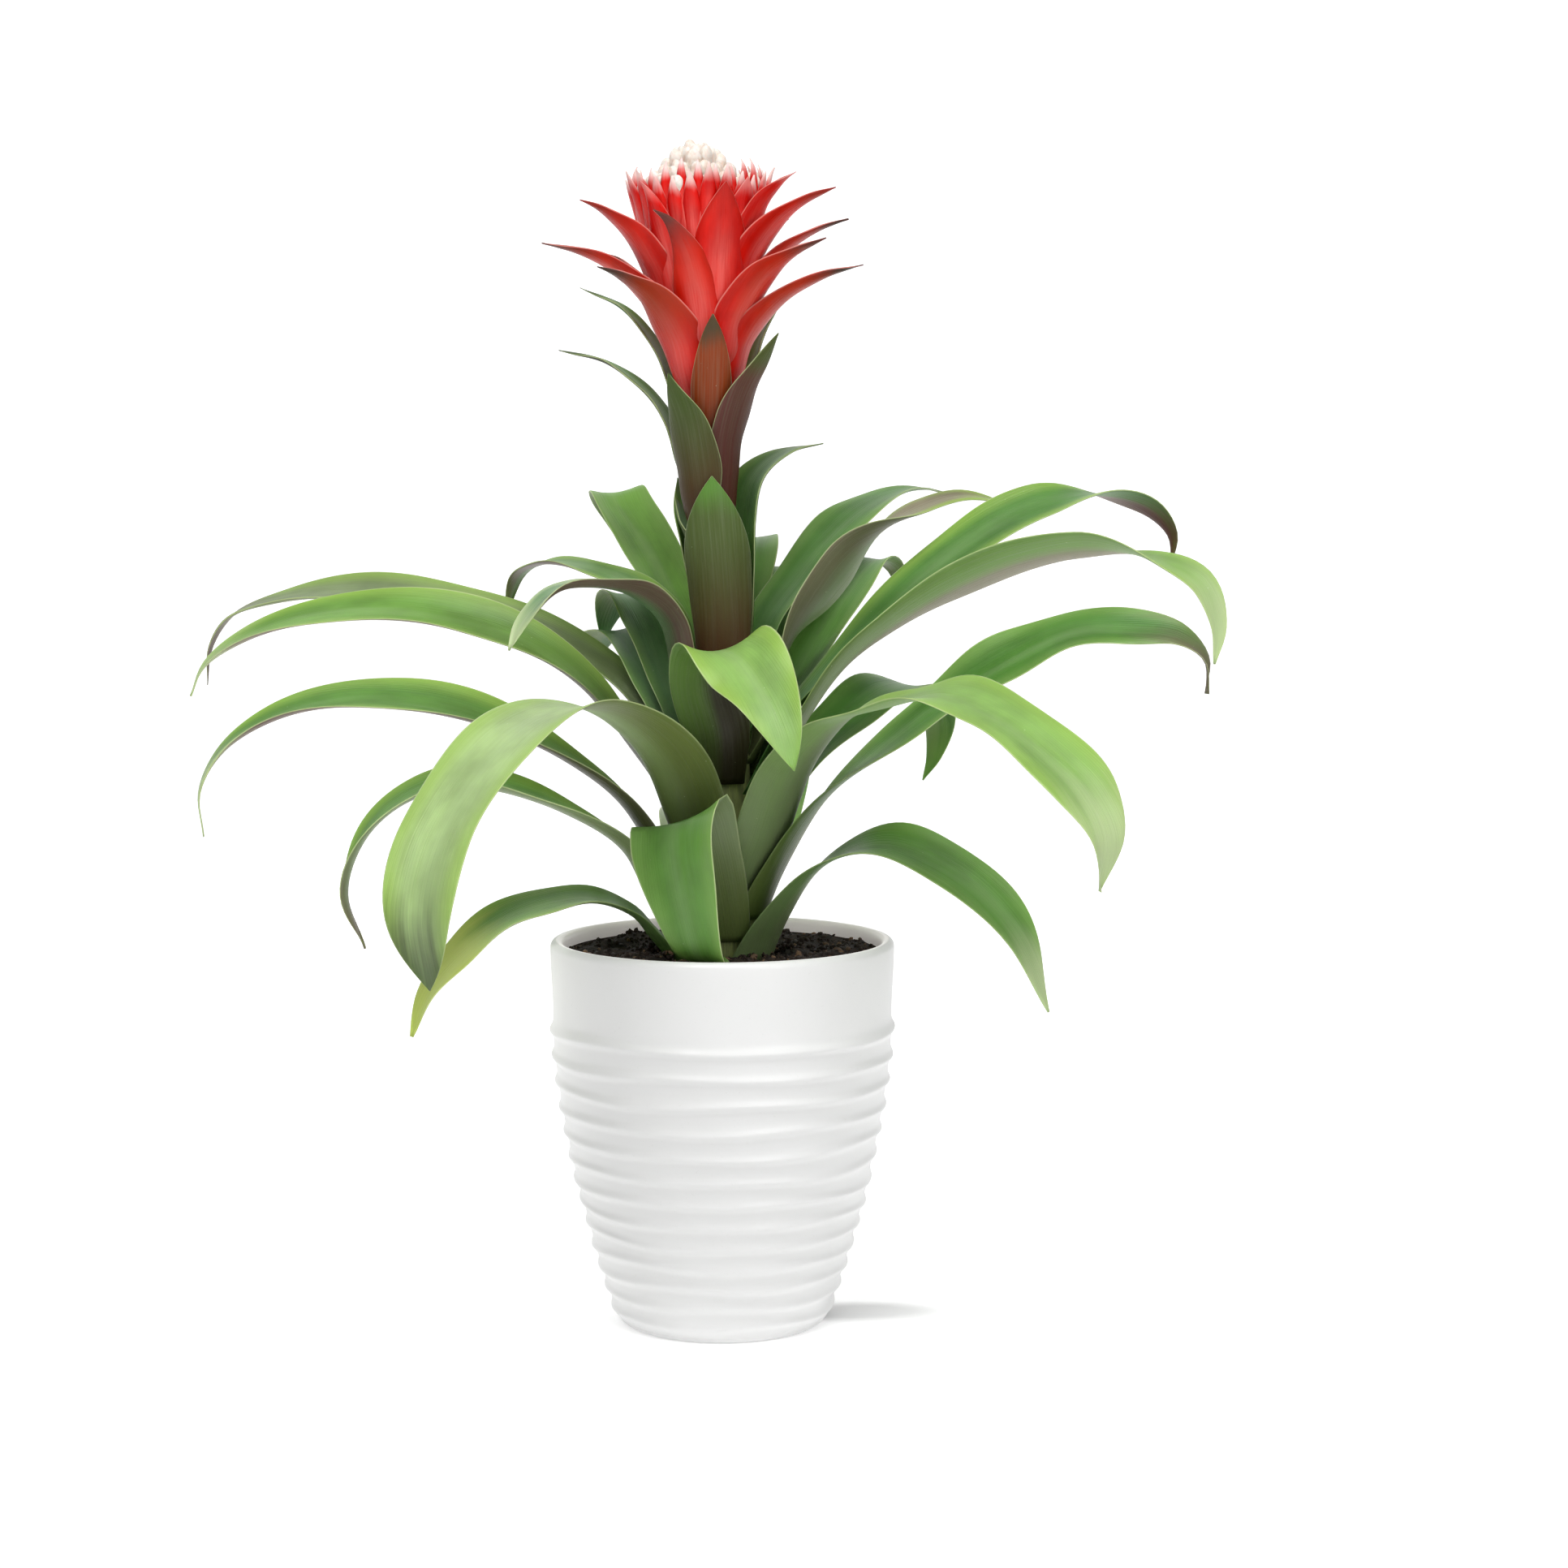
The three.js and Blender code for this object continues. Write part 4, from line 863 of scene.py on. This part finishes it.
waxy, wire, shader = new_material("waxy_red_bract")
v, u, _ = wire.field("share").parts()
brown, white, _ = wire.field("look").parts()
across, along, seed = wire.field("spot").parts()
off = abs(v)
streak = wire.noise(wire.vector(across * 1.2, along * 0.05, seed), 1, 4, 0.6)
patch = wire.noise(wire.vector(across * 0.12, along * 0.06, seed), 1, 3, 0.5)
red = patch.between(0.3, 0.7).mix(tone(206, 8, 4), tone(240, 24, 10))
# Painted sheen: a pale pink highlight down the middle of each bract's lower half.
painted_pink_sheen = (1 - off.between(0.0, 0.65)) * u.between(0.05, 0.35) * (1 - u.between(0.5, 0.9))
red = (painted_pink_sheen * (0.25 + 0.45 * streak.between(0.25, 0.7))).mix(red, tone(248, 116, 108))
red = (u.between(0.3, 0.0) * 0.7).mix(red, tone(128, 14, 10))
# Painted shade: a darker red towards the margins, where the cupped bract turns from the light.
red = (off.between(0.55, 0.9) * 0.3).mix(red, tone(160, 8, 6))
tip = u + 0.2 * (patch - 0.5) + 0.06 * (streak - 0.5)
red = (tip.between(0.25, 0.7) * brown * 0.75).mix(red, tone(150, 58, 28))
red = (tip.between(0.7, 0.95) * brown.math("MINIMUM", brown * 2.2, 1.0)).mix(red, tone(76, 58, 52))
# A thin pale pink line at the margins: partly the bract's own margin, partly painted highlight.
red = (off.between(0.93, 0.99) * 0.7).mix(red, tone(232, 150, 140))
red = (tip.between(0.82, 0.98) * white).mix(red, tone(250, 226, 220))
paint(wire, shader, red, 0.22 + streak * 0.16, wire.bump(streak + patch, 0.4, 0.0006))
fleshy(shader, 0.15, (1.0, 0.25, 0.15), 0.2)
straps = [bract(*row[:6], seed=60.0 + i) for i, row in enumerate(bracts)]
head = make_straps("flower_head_bracts", straps, [(row[6], row[7], 0) for row in bracts], head_place)
finish_piece(head, "flower_head", waxy)

rise = np.linspace(0, CORE_TOP, 30)
core = np.vstack([[[0, 0]], np.stack([CORE_SHARE * head_radius(rise), rise], axis=-1), [[0, CORE_TOP]]])
corners, faces = turned(core, columns=40)
pith, wire, shader = new_material("bract_core")
x, y, z = wire.place().parts()
grain = wire.noise(wire.vector(x * 600, y * 600, z * 60), 1, 3, 0.6)
paint(wire, shader, grain.mix(tone(120, 20, 12), tone(176, 34, 22)), 0.5 + 0.2 * grain)
core_piece = make_mesh("flower_head_core", head_place(corners), faces)
finish_piece(core_piece, "flower_head", pith)

# The florets. Close-set fleshy buds that fill the mouth of the head, upright in the middle and leaning
# out at the rim, creamy white and knobbly at the top and red below. They stand together on one dome.
FLORETS = 84
FLORET_ROWS = 16
FLORET_SIDES = 12
FLORET_LENGTH = 19
FLORET_GIRTH = 2.65
DOME_RADIUS = 14.5
DOME_TOP = 85.6
RIM_TILT = 28
GOLDEN_ANGLE = np.pi * (3 - 5 ** 0.5)
DOME = [[0, 70.3], [14, 70.3], [15.5, 76], [12, 84], [7, 88], [0, 90]]


def floret_corners():
    """Buds turned about their own axes, tilted out and set round the dome by the golden angle.

    Along a bud the radius swells from its foot to three quarters up, then closes as half an ellipse,
    with three lobes round its top. The buds stand lower the further out they are."""
    index = np.arange(FLORETS)
    share = np.sqrt((index + 0.5) / FLORETS)
    s = 1 - (1 - np.linspace(0.0, 1, FLORET_ROWS)) ** 1.7
    closing = np.sqrt(np.clip(1 - np.clip((s - 0.8) / 0.2, 0, 1) ** 2, 0.0004, 1))
    swell = (0.5 + 0.5 * steps(0.1, 0.75, s)) * closing
    angle = -2 * np.pi * np.arange(FLORET_SIDES) / FLORET_SIDES
    luck = np.random.default_rng(3)
    girth = FLORET_GIRTH * luck.uniform(0.75, 1.12, (FLORETS, 1, 1))
    lobes = np.abs(np.cos(1.5 * angle[None, None, :] + luck.uniform(0, 6, (FLORETS, 1, 1))))
    radius = girth * swell[None, :, None] * (1 + 0.3 * (lobes - 0.6) * steps(0.45, 0.8, s)[None, :, None])
    x, y = radius * np.cos(angle), radius * np.sin(angle)
    length = FLORET_LENGTH * luck.uniform(0.86, 1.06, (FLORETS, 1, 1))
    z = np.broadcast_to(length * s[None, :, None], x.shape)
    tilt = np.radians(RIM_TILT * share)[:, None, None]
    x, z = x * np.cos(tilt) + z * np.sin(tilt), z * np.cos(tilt) - x * np.sin(tilt)
    x = x + (DOME_RADIUS * share)[:, None, None]
    drop = 4 * np.minimum(1, share / 0.45) ** 2 + 4 * steps(0.38, 0.5, share)
    drop = drop + 5 * np.clip(2 * share - 1, 0, 1)
    z = z + (DOME_TOP - drop)[:, None, None]
    spin = (index * GOLDEN_ANGLE)[:, None, None]
    place = np.stack([x * np.cos(spin) - y * np.sin(spin), x * np.sin(spin) + y * np.cos(spin), z], axis=-1)
    mark = np.stack(np.broadcast_arrays(s[None, :, None], share[:, None, None], np.cos(angle)), axis=-1)
    return place, mark


def make_florets():
    """One mesh of the buds and the dome under them, every bud closed at both ends."""
    place, mark = floret_corners()
    corners = place.reshape(-1, 3)
    faces = []
    for i in range(FLORETS):
        first = i * FLORET_ROWS * FLORET_SIDES
        last = first + (FLORET_ROWS - 1) * FLORET_SIDES
        faces += between_rings(FLORET_ROWS, FLORET_SIDES, first)
        faces.append([first + j for j in range(FLORET_SIDES)][::-1])
        faces.append([last + j for j in range(FLORET_SIDES)])
    under, under_faces = turned(DOME, columns=24)
    shift = len(corners)
    faces += [[shift + k for k in face] for face in under_faces]
    marks = np.vstack([mark.reshape(-1, 3), np.zeros((len(under), 3))])
    return make_mesh("floret_buds", head_place(np.vstack([corners, under])), faces, {"bud": marks})


buds, wire, shader = new_material("creamy_floret")
s, rim, _ = wire.field("bud").parts()
mottle = wire.noise(wire.place(), 420, 3, 0.6)
white = mottle.between(0.3, 0.65).mix(tone(226, 206, 190), tone(244, 238, 230))
blush = (s + 0.02 * rim + 0.14 * (mottle - 0.5)).between(0.7, 0.54)
pink = blush.between(0.0, 0.5).mix(white, tone(244, 168, 158))
bud_tone = blush.between(0.35, 1.0).mix(pink, tone(222, 30, 22))
paint(wire, shader, bud_tone, 0.4 + mottle * 0.2, wire.bump(mottle, 0.3, 0.0008))
fleshy(shader, 0.2, (1.0, 0.6, 0.5), 0.5)
finish_piece(make_florets(), "floret_cluster", buds)

# The studio. A white sweep of paper under and behind the plant, lit a little from itself, broad soft
# lights from above, from the left and from the right, and the camera at the photograph's place.
SWEEP_FOLD = 1.4
SWEEP_BEND = 0.7
SWEEP_SIDE = 3.0
LIGHTS_AIM = (0, 0, 0.22)
bend = np.linspace(0.05, np.pi / 2, 20)
sweep_y = np.concatenate([np.linspace(-2.4, SWEEP_FOLD, 20), SWEEP_FOLD + SWEEP_BEND * np.sin(bend), [2.1]])
sweep_z = np.concatenate([np.zeros(20), SWEEP_BEND - SWEEP_BEND * np.cos(bend), [3.2]])
stops = len(sweep_y)
left = np.stack([np.full(stops, -SWEEP_SIDE), sweep_y, sweep_z], axis=-1)
right = left * [-1, 1, 1]
paper = [[i, i + stops, i + stops + 1, i + 1] for i in range(stops - 1)]
sweep = make_mesh("studio_sweep", np.vstack([left, right]) / MM, paper)
paper_white, wire, shader = new_material("studio_paper")
fibre = wire.noise(wire.place(), 300, 2)
paint(wire, shader, fibre.mix(tone(246, 246, 246), tone(250, 250, 250)), 0.9)
# The paper glows less in front, and least in a small oval right of the pot's foot, where its shadow lies.
aside, back, _ = wire.place().parts()
near = (aside - 0.05) * (aside - 0.05) + (back - 0.004) * (back - 0.004) * 6
glow = back.between(-0.15, 0.1).mix(tone(70, 70, 70), tone(218, 218, 218))
glow = (near * 1000).between(1.6, 0.2).mix(glow, tone(20, 20, 20))
wire.feed(shader.inputs["Emission Color"], glow)
shader.inputs["Emission Strength"].default_value = 0.7
sweep.data.materials.append(paper_white)

world = bpy.data.worlds.new("studio")
world.use_nodes = True
sky = world.node_tree.nodes["Background"]
sky.inputs["Color"].default_value = (1, 1, 1, 1)
sky.inputs["Strength"].default_value = 0.22
bpy.context.scene.world = world


def aimed(item, target):
    """Points an object's own -Z axis at a place."""
    way = np.asarray(target, float) - np.asarray(item.location)
    flat = math.hypot(way[0], way[1])
    item.rotation_euler = (math.atan2(flat, -way[2]), 0, math.atan2(way[1], way[0]) - math.pi / 2)


def soft_light(name, place, side, power):
    """A square area light, aimed at the middle of the plant."""
    lamp = bpy.data.lights.new(name, "AREA")
    lamp.shape = "RECTANGLE"
    lamp.size = side
    lamp.size_y = side
    lamp.energy = power
    item = bpy.data.objects.new(name, lamp)
    item.location = place
    aimed(item, LIGHTS_AIM)
    bpy.context.scene.collection.objects.link(item)


soft_light("key_light", (-0.7, -1.1, 1.6), 0.7, 10)
soft_light("fill_light", (0.9, -1.4, 0.9), 1.0, 6.5)
soft_light("top_light", (0.05, -0.8, 1.9), 0.9, 20)

# The camera looks along +Y, turned down and to the right by these pixels of a frame 1932 pixels wide.
FOCAL_PIXELS = 3539
TURNED_DOWN = 311
TURNED_RIGHT = 76.5
lens = bpy.data.cameras.new("camera")
lens.sensor_width = 36
lens.lens = 65.94
lens.clip_end = 30
camera = bpy.data.objects.new("camera", lens)
camera.location = (0, -1.05, 0.2912)
down, right = math.atan(TURNED_DOWN / FOCAL_PIXELS), math.atan(TURNED_RIGHT / FOCAL_PIXELS)
camera.rotation_euler = (math.pi / 2 - down, 0, -right)
bpy.context.scene.collection.objects.link(camera)
bpy.context.scene.camera = camera
bpy.context.scene.view_settings.view_transform = "Standard"

bpy.context.view_layer.update()
